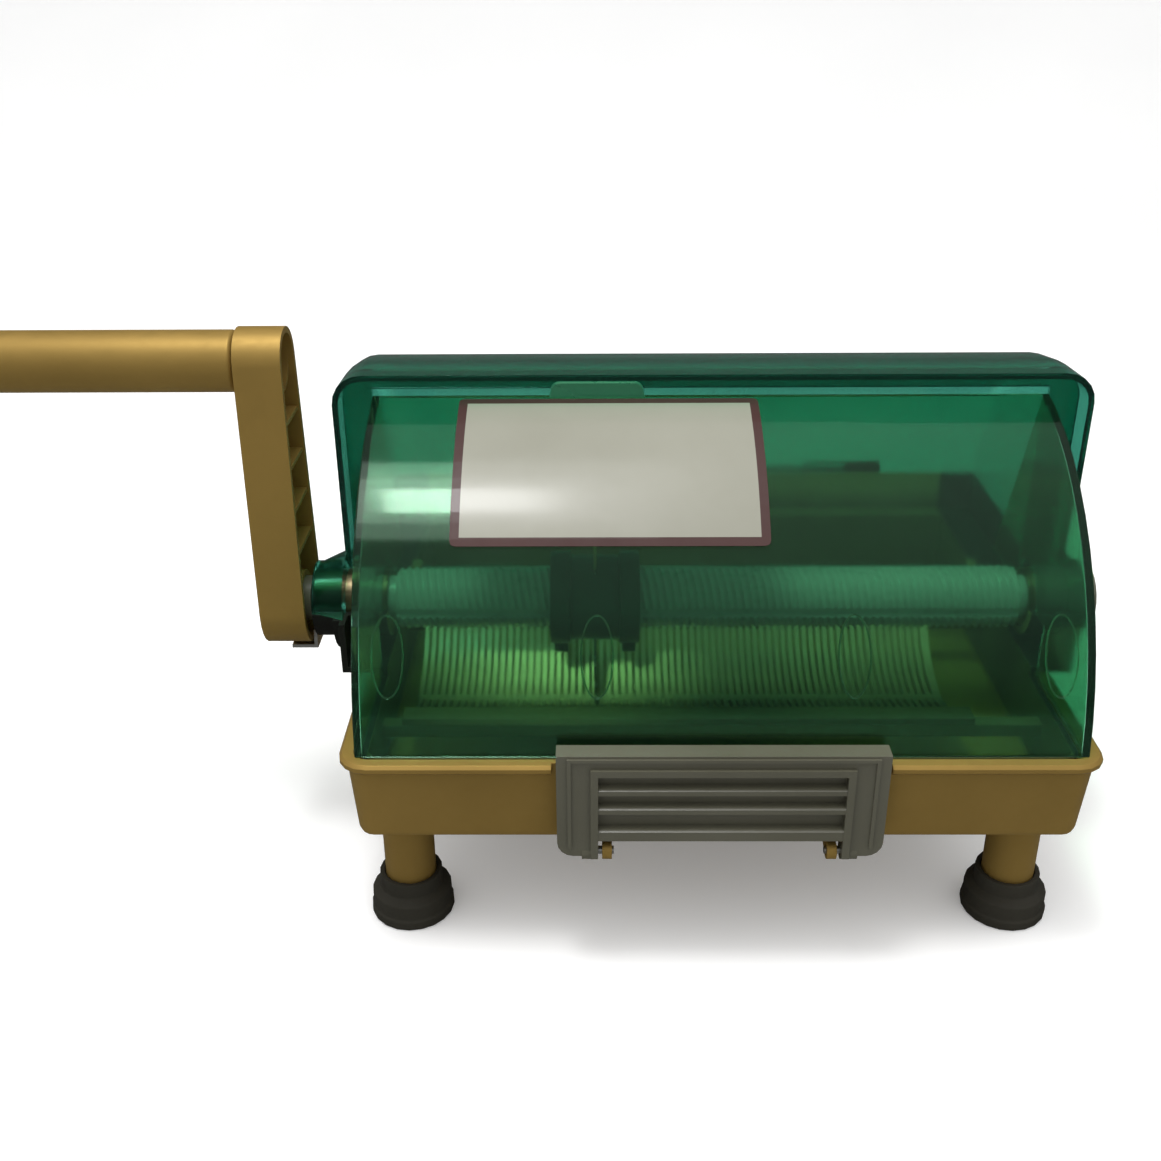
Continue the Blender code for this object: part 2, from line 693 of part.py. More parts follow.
def build_grate(olive):
    """The slotted trough: bars across the screw, joined by a spine, two edges and side flanges."""
    bays = ((-GRATE_HALF_ANGLE, -GRATE_SPINE / 2), (GRATE_SPINE / 2, GRATE_HALF_ANGLE))
    lines = []
    for start, end in bays:
        lines += [start + (end - start) * i / 3 for i in range(4)]
    profile = [(-GRATE_FLANGE_END, GRATE_EDGE_Z, False)]
    for i, angle in enumerate(lines):
        open_bay = i % 4 != 3
        profile.append((GRATE_R * sin(angle), -GRATE_R * cos(angle), open_bay))
    profile.append((GRATE_FLANGE_END, GRATE_EDGE_Z, False))
    bars = int((GRATE_RIGHT - GRATE_LEFT) / GRATE_PITCH)
    stations = []
    for i in range(bars):
        stations.append((GRATE_LEFT + i * GRATE_PITCH, False))
        stations.append((GRATE_LEFT + (i + 1) * GRATE_PITCH - GRATE_SLOT, True))
    stations.append((GRATE_LEFT + bars * GRATE_PITCH, False))
    stations.append((GRATE_RIGHT + GRATE_LIP, False))

    def fill(work):
        grid = [[work.verts.new((x, y, z)) for y, z, _ in profile] for x, _ in stations]
        for i in range(len(stations) - 1):
            for j in range(len(profile) - 1):
                if not (stations[i][1] and profile[j][2]):
                    work.faces.new((grid[i][j], grid[i + 1][j], grid[i + 1][j + 1], grid[i][j + 1]))

    grate = make_object("grate", mesh_from("grate", fill))
    thick = grate.modifiers.new("thickness", "SOLIDIFY")
    thick.thickness = GRATE_THICKNESS
    thick.offset = 1.0
    finish(grate, "slotted_trough", olive, ROOT)


def build_guide_bar(steel):
    half = GUIDE_BAR / 2
    end = FRAME_INNER_HALF_WIDTH - 2 * GAP
    bar = box("bar", (-end, GUIDE_Y - half, GUIDE_Z - half), (end, GUIDE_Y + half, GUIDE_Z + half))
    finish(bar, "guide_bar", steel, ROOT)


def build_bushes(brass):
    for side, where in ((-1, "left"), (1, "right")):
        x0 = side * (FRAME_INNER_HALF_WIDTH + GAP)
        x1 = side * (BOSS_ENDS[side] - GAP)
        bush = rod_x("bush", x0, x1, BUSH_OUTER_R, segments=ROUND_SEGMENTS)
        bore_x0, bore_x1 = x0 - side * GAP, x1 + side * GAP
        cut(bush, rod_x("bush_bore", bore_x0, bore_x1, BUSH_INNER_R, segments=ROUND_SEGMENTS))
        finish(bush, f"bush_{where}", brass, ROOT)


def keyway_box(name, x0, x1, low_r, high_r, width):
    """A block along X at the keyway's angle, between two radii, pointing to the front."""
    block = box(name, (x0, -high_r, -width / 2), (x1, -low_r, width / 2))
    block.matrix_local = Matrix.Rotation(-KEYWAY_TILT, 4, "X")
    return block


def build_screw(steel, grey):
    thread_end = SCREW_HALF_LENGTH
    left = -BOSS_ENDS[-1]
    drive_end = ARM_INNER_X + RUNNING_GAP - DRIVE_LENGTH
    right = BOSS_ENDS[1] + RUNNING_GAP
    chamfer = SCREW_CHAMFER
    profile = [
        (0.0, right + RETAINER_WIDTH),
        (JOURNAL_R - chamfer, right + RETAINER_WIDTH),
        (JOURNAL_R, right + RETAINER_WIDTH - chamfer),
        (JOURNAL_R, right),
        (JOURNAL_R, thread_end),
        (SCREW_R - chamfer, thread_end),
        (SCREW_R, thread_end - chamfer),
        (SCREW_R, chamfer - thread_end),
        (SCREW_R - chamfer, -thread_end),
        (JOURNAL_R, -thread_end),
        (JOURNAL_R, left),
        (DRIVE_R, left),
        (DRIVE_R, drive_end),
        (0.0, drive_end),
    ]
    screw = turned("screw_blank", profile, ROUND_SEGMENTS, ALONG_X)
    cut(screw, keyway_box("keyway", -thread_end - GAP, thread_end + GAP, SCREW_R - KEYWAY_DEPTH,
                          SCREW_R + KEYWAY_DEPTH, KEY_WIDTH))
    finish(screw, "lead_screw", steel, CRANK)
    ring_r = JOURNAL_R + RETAINER_RISE + BUSH_WALL
    ring = rod_x("ring", right, right + RETAINER_WIDTH, ring_r)
    cut(ring, rod_x("ring_bore", right - GAP, right + RETAINER_WIDTH + GAP, JOURNAL_R + GAP))
    finish(ring, "screw_retaining_ring", grey, CRANK)


def arm_outline(grow, steps=12):
    """The arm's outline: a large round at the shaft, a smaller one at the grip and straight flanks."""
    low_r, high_r = ARM_SHAFT_R + grow, ARM_GRIP_R + grow
    tilt = (low_r - high_r) / ARM_LENGTH
    lean = atan2(tilt, sqrt(1 - tilt * tilt))
    points = []
    for i in range(steps + 1):
        angle = pi - lean + (pi + 2 * lean) * i / steps
        points.append((low_r * cos(angle), low_r * sin(angle)))
    for i in range(steps + 1):
        angle = lean + (pi - 2 * lean) * i / steps
        points.append((high_r * cos(angle), ARM_LENGTH + high_r * sin(angle)))
    return points


def build_arm(gold, steel, grey):
    arm = plate("arm_blank", arm_outline(0.0), ARM_OUTER_X, ARM_INNER_X)
    pocket = plate("arm_pocket", arm_outline(-ARM_WALL), ARM_OUTER_X + ARM_WALL, ARM_INNER_X + ARM_WALL)
    cut(arm, pocket)
    web_x = ARM_OUTER_X + ARM_WALL / 2
    hub_end = ARM_INNER_X - ARM_WALL
    join(arm, rod_x("arm_hub", web_x, hub_end, INSERT_R + GAP + ARM_HUB_WALL))
    recess_r = ARM_GRIP_R - ARM_WALL
    join(arm, rod_x("axle_socket", web_x, hub_end, recess_r + SOCKET_WALL, 0.0, ARM_LENGTH))
    for i in range(ARM_RIB_COUNT):
        z = ARM_RIB_START + i * ARM_RIB_PITCH
        half = ARM_SHAFT_R + (ARM_GRIP_R - ARM_SHAFT_R) * z / ARM_LENGTH - ARM_WALL / 2
        rib = box(
            "arm_rib",
            (web_x, -half, z - ARM_RIB_THICKNESS / 2),
            (ARM_INNER_X - ARM_RIB_SETBACK, half, z + ARM_RIB_THICKNESS / 2),
        )
        join(arm, rib)
    seat_x = ARM_OUTER_X + ARM_WALL
    cut(
        arm,
        rod_x("insert_bore", seat_x, ARM_INNER_X + ARM_WALL, INSERT_R + GAP),
        rod_x("axle_bore", ARM_OUTER_X - ARM_WALL, ARM_INNER_X, AXLE_R + GAP, 0.0, ARM_LENGTH, 20),
        rod_x("axle_recess", ARM_OUTER_X + 2 * ARM_WALL, ARM_INNER_X + ARM_WALL, recess_r, 0.0, ARM_LENGTH),
    )
    finish(arm, "crank_arm", gold, CRANK)
    insert_end = ARM_INNER_X + INSERT_STANDOFF
    drive_end = ARM_INNER_X + RUNNING_GAP - DRIVE_LENGTH - GAP
    insert = rod_x("insert", seat_x + GAP, insert_end, INSERT_R)
    cut(insert, rod_x("drive_bore", drive_end, insert_end + ARM_WALL, DRIVE_R + GAP))
    finish(insert, "drive_insert", grey, CRANK)

    flange_z = -ARM_SHAFT_R - GAP
    leg_x = ARM_INNER_X + GAP
    half = CLIP_WIDTH / 2
    clip = box(
        "clip_flange",
        (ARM_INNER_X - ARM_THICKNESS / 2, -half, flange_z - CLIP_THICKNESS),
        (leg_x + CLIP_THICKNESS, half, flange_z),
    )
    leg_top = -JOURNAL_R - ARM_WALL
    leg_low = flange_z - CLIP_THICKNESS
    join(clip, box("clip_leg", (leg_x, -half, leg_low), (leg_x + CLIP_THICKNESS, half, leg_top)))
    screw_x = ARM_INNER_X - ARM_THICKNESS / 4
    cut(clip, rod("clip_hole", (screw_x, 0, flange_z - 2 * CLIP_THICKNESS), (screw_x, 0, flange_z + GAP),
                  AXLE_R / 2 + GAP, 16))
    finish(clip, "arm_clip", steel, CRANK)


def build_axle_and_grip(gold, steel):
    head_x = ARM_OUTER_X + 2 * ARM_WALL + GAP
    axle_end = GRIP_END_X + GRIP_END_WALL + GRIP_CAP_DEPTH + GAP
    axle = turned(
        "axle",
        [
            (0.0, head_x + AXLE_HEAD_LENGTH),
            (AXLE_HEAD_R - AXLE_HEAD_CHAMFER, head_x + AXLE_HEAD_LENGTH),
            (AXLE_HEAD_R, head_x + AXLE_HEAD_LENGTH - AXLE_HEAD_CHAMFER),
            (AXLE_HEAD_R, head_x),
            (AXLE_R, head_x),
            (AXLE_R, axle_end),
            (0.0, axle_end),
        ],
        24,
        Matrix.Translation((0, 0, ARM_LENGTH)) @ ALONG_X,
    )
    finish(axle, "grip_axle", steel, CRANK)

    bore_r = AXLE_R + GAP
    cap_r = GRIP_R - GRIP_CAP_INSET
    recess_x = GRIP_END_X + GRIP_CAP_DEPTH
    grip = turned(
        "grip",
        [
            (bore_r, GRIP_START_X),
            (GRIP_R - GRIP_ROUND, GRIP_START_X),
            (GRIP_R, GRIP_START_X - GRIP_ROUND),
            (GRIP_R, GRIP_END_X + 2 * GRIP_ROUND),
            (GRIP_R - 2 * GRIP_ROUND, GRIP_END_X),
            (cap_r + GAP, GRIP_END_X),
            (cap_r + GAP, recess_x),
            (bore_r, recess_x),
            (bore_r, GRIP_START_X),
        ],
        36,
        Matrix.Translation((0, 0, ARM_LENGTH)) @ ALONG_X,
    )
    finish(grip, "handle_grip", gold, GRIP)
    cap = turned(
        "cap",
        [
            (0.0, recess_x - GAP),
            (cap_r, recess_x - GAP),
            (cap_r, GRIP_END_X + GRIP_ROUND),
            (cap_r - GRIP_ROUND, GRIP_END_X),
            (0.0, GRIP_END_X),
        ],
        ROUND_SEGMENTS,
        Matrix.Translation((0, 0, ARM_LENGTH)) @ ALONG_X,
    )
    finish(cap, "grip_end_cap", gold, GRIP)


def build_carriage(grey, steel):
    bore_r = SCREW_R + GAP
    shoe_front = GUIDE_Y - GUIDE_BAR / 2 - GAP - SHOE_FRONT_WALL
    shoe_rear = GUIDE_Y + GUIDE_BAR / 2 + GAP + SHOE_WALL
    shoe_low = GUIDE_Z - GUIDE_BAR / 2 - GAP - SHOE_WALL
    shoe_high = GUIDE_Z + GUIDE_BAR / 2 + GAP + SHOE_WALL
    nut_start = HUB_HALF_LENGTH + GAP
    nut_end = nut_start + NUT_LENGTH
    for side, where in ((-1, "left"), (1, "right")):
        x0 = HEAD_X + side * nut_start
        x1 = HEAD_X + side * nut_end
        nut = rod_x("nut", x0, x1, NUT_R, segments=ROUND_SEGMENTS)
        arm_x0 = x0 + side * NUT_SHOULDER
        arm_x1 = x1 - side * NUT_SHOULDER
        arm = plate(
            "nut_arm",
            [
                (0.0, NUT_ARM_RISE),
                (0.0, -NUT_ARM_FALL),
                (shoe_front - GAP, GUIDE_Z - ARM_PLATE_HALF_HEIGHT),
                (shoe_front - GAP, GUIDE_Z + ARM_PLATE_HALF_HEIGHT),
            ],
            arm_x0,
            arm_x1,
        )
        foot = box(
            "nut_foot",
            (arm_x0 + side * NUT_SHOULDER, -NUT_FOOT_HALF_WIDTH, -NUT_R - NUT_FOOT_DROP),
            (arm_x1 - side * NUT_SHOULDER, NUT_FOOT_HALF_WIDTH, -NUT_R + NUT_FOOT_ROOT),
        )
        join(nut, arm, foot)
        bore_x0, bore_x1 = x0 - side * NUT_LENGTH, x1 + side * NUT_LENGTH
        cut(nut, rod_x("nut_bore", bore_x0, bore_x1, bore_r, segments=ROUND_SEGMENTS))
        finish(nut, f"carriage_nut_{where}", grey, CARRIAGE)
    shoe = box("shoe", (HEAD_X - nut_end, shoe_front, shoe_low), (HEAD_X + nut_end, shoe_rear, shoe_high))
    slot = GUIDE_BAR / 2 + GAP
    cut(
        shoe,
        box(
            "shoe_slot",
            (HEAD_X - 2 * nut_end, GUIDE_Y - slot, GUIDE_Z - slot),
            (HEAD_X + 2 * nut_end, GUIDE_Y + slot, GUIDE_Z + slot),
        ),
    )
    finish(shoe, "guide_shoe", steel, CARRIAGE)


def knife_outline():
    """One knife, pointing down from the hub: narrow root, curved flanks and a round tip."""
    tip_half_angle = KNIFE_TIP_HALF_WIDTH / KNIFE_TIP_R
    right = [(KNIFE_ROOT_HALF_WIDTH, -KNIFE_ROOT_R), (KNIFE_BELLY_HALF_WIDTH, -KNIFE_WAIST_R)]
    left = [(-y, z) for y, z in reversed(right)]
    steps = 6
    tip = []
    for i in range(steps + 1):
        angle = tip_half_angle - 2 * tip_half_angle * i / steps
        tip.append((KNIFE_TIP_R * sin(angle), -KNIFE_TIP_R * cos(angle)))
    return right + tip + left


def build_knife_head(grey, steel):
    hub = rod_x("hub", HEAD_X - HUB_HALF_LENGTH, HEAD_X + HUB_HALF_LENGTH, HUB_R, segments=ROUND_SEGMENTS)
    slot_half = KNIFE_THICKNESS / 2 + KNIFE_SLOT_GAP
    slot_width = KNIFE_ROOT_HALF_WIDTH + 2 * KNIFE_SLOT_GAP
    root_r = KNIFE_ROOT_R - KNIFE_SLOT_GAP
    cut(hub, rod_x("hub_bore", HEAD_X - HUB_R, HEAD_X + HUB_R, SCREW_R + GAP, segments=ROUND_SEGMENTS))
    for side, where in ((-1, "lower"), (1, "upper")):
        z0, z1 = side * root_r, side * 2 * HUB_R
        cut(
            hub,
            box(
                "knife_slot",
                (HEAD_X - slot_half, -slot_width, min(z0, z1)),
                (HEAD_X + slot_half, slot_width, max(z0, z1)),
            ),
        )
        outline = [(-y, -z) for y, z in knife_outline()] if side > 0 else knife_outline()
        knife = plate("knife", outline, HEAD_X - KNIFE_THICKNESS / 2, HEAD_X + KNIFE_THICKNESS / 2)
        finish(knife, f"knife_{where}", steel, KNIVES)
    key_top = (SCREW_R + HUB_R) / 2
    key_half = HUB_HALF_LENGTH - RUNNING_GAP
    cut(hub, keyway_box("key_seat", HEAD_X - key_half - GAP, HEAD_X + key_half + GAP, SCREW_R - KEYWAY_DEPTH,
                        key_top + GAP, KEY_WIDTH))
    finish(hub, "knife_hub", grey, KNIVES)
    key = keyway_box("key", HEAD_X - key_half, HEAD_X + key_half, SCREW_R - KEYWAY_DEPTH + GAP, key_top,
                     KEY_WIDTH - 2 * GAP)
    finish(key, "hub_key", steel, KNIVES)


def front_arc(steps=12):
    """Points (y, z) of the curved front, from its top edge to its bottom edge."""
    top = Vector((FRONT_TOP_Y, FRONT_TOP_Z))
    bottom = Vector((FRONT_BOTTOM_Y, FRONT_BOTTOM_Z))
    chord = top - bottom
    sideways = Vector((chord.y, -chord.x)).normalized()
    rise = sqrt(FRONT_ARC_R**2 - (chord.length / 2) ** 2)
    centre = (top + bottom) / 2 + sideways * rise
    start = atan2(top.y - centre.y, top.x - centre.x)
    end = atan2(bottom.y - centre.y, bottom.x - centre.x)
    if end < start:
        end += 2 * pi
    points = []
    for i in range(steps + 1):
        angle = start + (end - start) * i / steps
        points.append((centre.x + FRONT_ARC_R * cos(angle), centre.y + FRONT_ARC_R * sin(angle)))
    return points


def build_front_cover(green):
    arc = front_arc()
    cheek_z = PARTING
    cheek = [
        (CHEEK_STEP_Y, FRONT_BOTTOM_Z),
        (CHEEK_STEP_Y, cheek_z),
        (CHEEK_REAR_Y, cheek_z),
    ]

    def fill(work):
        sides = []
        for x in (-FRONT_HALF_WIDTH, FRONT_HALF_WIDTH):
            sides.append([work.verts.new((x, y, z)) for y, z in arc + cheek])
        left, right = sides
        for i in range(len(arc) - 1):
            work.faces.new((left[i], left[i + 1], right[i + 1], right[i]))
        work.faces.new(left)
        work.faces.new(right[::-1])

    cover = make_object("front_blank", mesh_from("front_blank", fill))
    thick = cover.modifiers.new("wall", "SOLIDIFY")
    thick.thickness = COVER_WALL
    thick.offset = -1.0
    thick.use_even_offset = True
    reach = 2 * FRONT_HALF_WIDTH
    shaft = rod_x("shaft_relief", -reach, reach, BOSS_R + GAP, segments=ROUND_SEGMENTS)
    cut(cover, shaft)
    tab_base = FRONT_TOP_Z - 2 * COVER_WALL
    tab = loft(
        "tab",
        [
            rounded_ring(half, TAB_Y - COVER_WALL / 2, TAB_Y + COVER_WALL / 2, TAB_CORNER, z, 2)
            for half, z in (
                (TAB_HALF_WIDTH, tab_base),
                (TAB_HALF_WIDTH - TAB_SHOULDER_INSET, tab_base + TAB_SHOULDER_HEIGHT),
                (TAB_HALF_WIDTH - TAB_TOP_INSET, tab_base + TAB_HEIGHT),
            )
        ],
    )
    tab.location.x = TAB_X
    join(cover, tab)
    finish(cover, "front_cover", green, COVER)


def hood_section(y, inset):
    """Points (x, z) of the hood's arch at one depth: side walls, round shoulders and a level roof."""
    depth = HOOD_REAR - HOOD_FRONT - inset
    share = min(max((y - HOOD_FRONT) / depth, 0.0), 1.0)
    top = max((HOOD_TOP - inset) * sqrt(1 - share * share), 0.0)
    half = HOOD_HALF_WIDTH - inset
    corner = min(HOOD_CORNER_R - inset, max(top - PARTING, 0.0))
    steps = 5
    points = [(half, 0.0)]
    for i in range(steps + 1):
        angle = pi / 2 * i / steps
        points.append((half - corner * (1 - cos(angle)), top - corner * (1 - sin(angle))))
    points += [(-x, z) for x, z in reversed(points)]
    return points


def build_hood(green):
    """The rear hood: one arch swept back and down along a quarter ellipse, shelled, with a front flange."""
    steps = 9
    stations = []
    for i in range(steps + 1):
        stations.append(HOOD_FRONT + (HOOD_REAR - HOOD_FRONT) * sin(pi / 2 * i / steps))
    blank = hood_solid("hood_blank", stations, 0.0, HOOD_FRONT)
    hollow = hood_solid("hood_hollow", stations, COVER_WALL, HOOD_FRONT - 2 * COVER_WALL)
    cut(blank, hollow)
    flange = hood_solid("hood_flange", [HOOD_FLANGE_Y, HOOD_FLANGE_Y + COVER_WALL], COVER_WALL / 2, None)
    opening = box(
        "flange_opening",
        (-FRONT_HALF_WIDTH - GAP, HOOD_FRONT, -HOOD_TOP),
        (FRONT_HALF_WIDTH + GAP, HOOD_FLANGE_Y + 2 * COVER_WALL, FRONT_TOP_Z + COVER_WALL),
    )
    cut(flange, opening)
    join(blank, flange)
    for side in (-1, 1):
        wall_x = side * (HOOD_HALF_WIDTH - COVER_WALL / 2)
        cone_end = side * (BOSS_ENDS[side] - COVER_WALL)
        cone_r = BOSS_R + BOSS_STEP_RISE
        boss = rod_x("upper_boss", wall_x, side * BOSS_ENDS[side], BOSS_R, segments=ROUND_SEGMENTS)
        boss_cone = rod("boss_cone", (wall_x, 0, 0), (cone_end, 0, 0), cone_r, ROUND_SEGMENTS, BOSS_R)
        join(blank, boss, boss_cone)
        join(blank, knuckle("hood_knuckle", side * (KNUCKLE_X - KNUCKLE_LENGTH - RUNNING_GAP), 1))
    cut(
        blank,
        box(
            "below_parting",
            (-WIDEST, -HOOD_TOP, -HOOD_TOP),
            (WIDEST, HINGE_Y - KNUCKLE_R - GAP, PARTING),
        ),
        rod_x("upper_bore", -WIDEST, WIDEST, BUSH_OUTER_R + GAP, segments=ROUND_SEGMENTS),
        hinge_hole(),
    )
    finish(blank, "rear_hood", green, COVER)


def hood_solid(name, stations, inset, start):
    """A closed solid through the hood's arch at several depths, reaching below the parting."""
    rings = []
    if start is not None and start < stations[0]:
        rings.append([Vector((x, start, z)) for x, z in hood_ring(stations[0], inset)])
    for y in stations:
        reach = min(y, HOOD_REAR - inset - GAP)
        rings.append([Vector((x, reach, z)) for x, z in hood_ring(reach, inset)])
    return loft(name, rings)


def hood_ring(y, inset):
    low = -2 * HOOD_CORNER_R
    arch = [(x, max(z, low / 2)) for x, z in hood_section(y, inset)]
    half = HOOD_HALF_WIDTH - inset
    return [(half, low)] + arch[1:-1] + [(-half, low)]


def build_hinge_pins(steel):
    reach = KNUCKLE_X + KNUCKLE_LENGTH / 2 + RUNNING_GAP
    pin = rod_x("pin", -reach, reach, HINGE_PIN_R, HINGE_Y, segments=16)
    finish(pin, "cover_hinge_pin", steel, ROOT)
    for side, where in ((-1, "left"), (1, "right")):
        x0 = side * (LUG_X - LUG_THICKNESS / 2 - RUNNING_GAP)
        x1 = side * (LATCH_OPENING + PRONG_WIDTH - RUNNING_GAP)
        pin = rod_x("pin", x0, x1, LATCH_PIN_R, LATCH_PIN_Y, LATCH_PIN_Z, 16)
        finish(pin, f"latch_pin_{where}", steel, ROOT)


def upright(name, outline, y0, y1):
    """A solid between two depths, from a closed outline of (x, z) points."""
    return loft(name, [[Vector((x, y, z)) for x, z in outline] for y in (y0, y1)])


def arch(name, half, width, drop, low, y0, y1):
    """A raised frame on the latch: two legs joined by a band across the top."""
    top = LATCH_TOP_Z - drop
    inner = half - width
    outline = [
        (-half, top),
        (half, top),
        (half, low),
        (inner, low),
        (inner, top - width),
        (-inner, top - width),
        (-inner, low),
        (-half, low),
    ]
    return upright(name, outline, y0, y1)


def build_latch(grey):
    """The front latch: a plate with two raised frames, slats between them and a prong at each side."""
    half, rear = LATCH_HALF_WIDTH, LATCH_REAR
    low = LATCH_TOP_Z - LATCH_HEIGHT
    middle = LATCH_TOP_Z - LATCH_MIDDLE_HEIGHT
    opening = LATCH_OPENING
    rounds = []
    for i in range(5):
        angle = pi / 2 * i / 4
        rounds.append((half - LATCH_CORNER_R * (1 - cos(angle)), low + LATCH_CORNER_R * (1 - sin(angle))))
    right = [(half, LATCH_TOP_Z)] + rounds + [(opening, low), (opening, middle)]
    outline = right + [(-x, z) for x, z in reversed(right)]
    latch = upright("latch_plate", outline, LATCH_FACE, rear)
    recess_y = LATCH_FACE + LATCH_RECESS
    recess_top = LATCH_TOP_Z - LATCH_FRAME_DROP - LATCH_FRAME_WIDTH
    cut(
        latch,
        box("recess", (-opening, LATCH_FRONT, middle - GAP), (opening, recess_y, recess_top)),
    )
    join(
        latch,
        box(
            "latch_lip",
            (-half, rear - LATCH_GAP, LATCH_LIP_Z),
            (half, TRAY_FRONT + LATCH_LIP_SETBACK, LATCH_TOP_Z),
        ),
        arch("bead", half - LATCH_BEAD_INSET, LATCH_BEAD_WIDTH, LATCH_BEAD_DROP, low + LATCH_BEAD_INSET,
             LATCH_FACE - LATCH_BEAD_RISE, LATCH_FACE + LATCH_BEAD_RISE),
        arch("latch_frame", half - LATCH_FRAME_INSET, LATCH_FRAME_WIDTH, LATCH_FRAME_DROP, low - GAP,
             LATCH_FRONT, recess_y + GAP),
    )
    bars = [(drop, SLAT_HEIGHT) for drop in SLAT_DROPS]
    bars.append((RAIL_DROP, LATCH_MIDDLE_HEIGHT - RAIL_DROP))
    for drop, height in bars:
        top = LATCH_TOP_Z - drop
        slat = plate(
            "slat",
            [
                (recess_y + GAP, top),
                (LATCH_FACE, top),
                (LATCH_FRONT + GAP, top - LATCH_BEAD_RISE),
                (LATCH_FRONT + GAP, top - height),
                (recess_y + GAP, top - height),
            ],
            -opening - GAP,
            opening + GAP,
        )
        join(latch, slat)
    for side in (-1, 1):
        x0 = side * opening
        x1 = side * (opening + PRONG_WIDTH)
        join(latch, rod_x("prong_eye", x0, x1, PRONG_R, LATCH_PIN_Y, LATCH_PIN_Z))
    cut(latch, rod_x("latch_hole", -opening - PRONG_WIDTH, opening + PRONG_WIDTH, LATCH_PIN_R + GAP,
                     LATCH_PIN_Y, LATCH_PIN_Z, 16))
    finish(latch, "front_latch", grey, LATCH)


clear_scene()
PARTS = collection("rotary_vegetable_cutter")
CUTTERS = collection("construction")

left_end = GRIP_END_X
right_end = BOSS_ENDS[1] + RUNNING_GAP + RETAINER_WIDTH
front_end = LATCH_FRONT
rear_end = HINGE_Y + KNUCKLE_R
ROOT = empty("machine", (0, 0, 0))
ROOT.location = (-(left_end + right_end) / 2, -(front_end + rear_end) / 2, AXIS_HEIGHT)
CRANK = empty("crank_axis", (0, 0, 0), ROOT)
GRIP = empty("grip_axis", (0, 0, ARM_LENGTH), CRANK)
CARRIAGE = empty("carriage_slide", (0, 0, 0), ROOT)
KNIVES = empty("knife_axis", (HEAD_X, 0, 0), CARRIAGE)
COVER = empty("cover_hinge", (0, HINGE_Y, 0), ROOT)
LATCH = empty("latch_hinge", (0, LATCH_PIN_Y, LATCH_PIN_Z), ROOT)

gold_plastic = material("gold_plastic", GOLD, 0.35, 0.4)
green_plastic = material("green_plastic", GREEN, 0.12, 0.0)
black_plastic = material("black_plastic", BLACK, 0.45, 0.0)
olive_plastic = material("olive_plastic", OLIVE, 0.5, 0.0)
grey_plastic = material("grey_plastic", GREY, 0.5, 0.0)
rubber = material("rubber", RUBBER, 0.8, 0.0)
steel = material("steel", STEEL, 0.3, 1.0)
bronze = material("bronze", BRASS, 0.4, 1.0)

build_tray(gold_plastic)
build_legs(gold_plastic, rubber, steel)
build_frame(black_plastic)
build_grate(olive_plastic)
build_guide_bar(steel)
build_bushes(bronze)
build_screw(steel, grey_plastic)
build_arm(gold_plastic, steel, grey_plastic)
build_axle_and_grip(gold_plastic, steel)
build_carriage(grey_plastic, steel)
build_knife_head(grey_plastic, steel)
build_front_cover(green_plastic)
build_hood(green_plastic)
build_hinge_pins(steel)
build_latch(grey_plastic)
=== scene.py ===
"""The looks of the rotary vegetable cutter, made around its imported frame.

Sizes are in metres. Most places are given in the machine frame, where the lead screw's axis is Y = Z = 0
and X = 0 is the middle of the tray; ORIGIN moves them to the row frame. On the curved front, a place is
given by X and by the length of arc down from its top edge.
"""

import json
from math import asin, cos, floor, hypot, pi, radians, sin

import bmesh
import bpy
from mathutils import Matrix, Vector


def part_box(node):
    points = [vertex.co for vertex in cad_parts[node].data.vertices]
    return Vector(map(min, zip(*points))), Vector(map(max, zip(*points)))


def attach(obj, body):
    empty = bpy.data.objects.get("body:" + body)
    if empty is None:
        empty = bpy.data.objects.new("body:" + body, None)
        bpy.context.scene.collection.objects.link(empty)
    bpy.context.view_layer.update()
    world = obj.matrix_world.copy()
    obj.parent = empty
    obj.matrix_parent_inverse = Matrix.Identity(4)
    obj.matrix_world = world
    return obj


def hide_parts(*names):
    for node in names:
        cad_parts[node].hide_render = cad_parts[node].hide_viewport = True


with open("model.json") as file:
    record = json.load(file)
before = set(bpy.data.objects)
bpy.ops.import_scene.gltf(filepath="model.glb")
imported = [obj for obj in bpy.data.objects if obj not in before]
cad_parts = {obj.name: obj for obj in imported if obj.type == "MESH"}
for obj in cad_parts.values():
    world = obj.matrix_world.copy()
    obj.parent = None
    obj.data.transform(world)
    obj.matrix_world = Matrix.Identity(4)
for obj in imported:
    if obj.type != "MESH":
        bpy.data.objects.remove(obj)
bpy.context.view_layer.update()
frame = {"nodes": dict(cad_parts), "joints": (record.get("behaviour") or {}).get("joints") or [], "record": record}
nodes_of = frame["nodes"]

crank_joint = [j for j in frame["joints"] if j["name"] == "crank_turn"][0]
ORIGIN = Vector(crank_joint["pos_m"])

# Curved front of the cover, as an arc in the YZ plane
ARC_R = 0.1230
ARC_CENTRE = (0.03574, -0.03780)
ARC_START = radians(100.843)

# Finger tab on the front's top edge
TAB_X = -0.0445
TAB_HALF = 0.0190
TAB_LEAN = 0.0008
TAB_TOP_R = 0.0036
TAB_LOW = 0.0815
TAB_HIGH = 0.0886
TAB_FRONT = 0.0104
TAB_THICK = 0.0022
TAB_CORNER_STEPS = 6
RAISED = 0.001

# Blank plate on the front: its ends across and along, the width of its border and its corners
PLATE_X = (-0.0982, 0.0182)
PLATE_ALONG = (0.0036, 0.0757)
PLATE_MARGIN = 0.0034
PLATE_CORNER = 0.0022
PLATE_LIFT = 0.00022
PLATE_SUNK = -0.00002
PLATE_COLUMNS = 16
PLATE_ROWS = 24

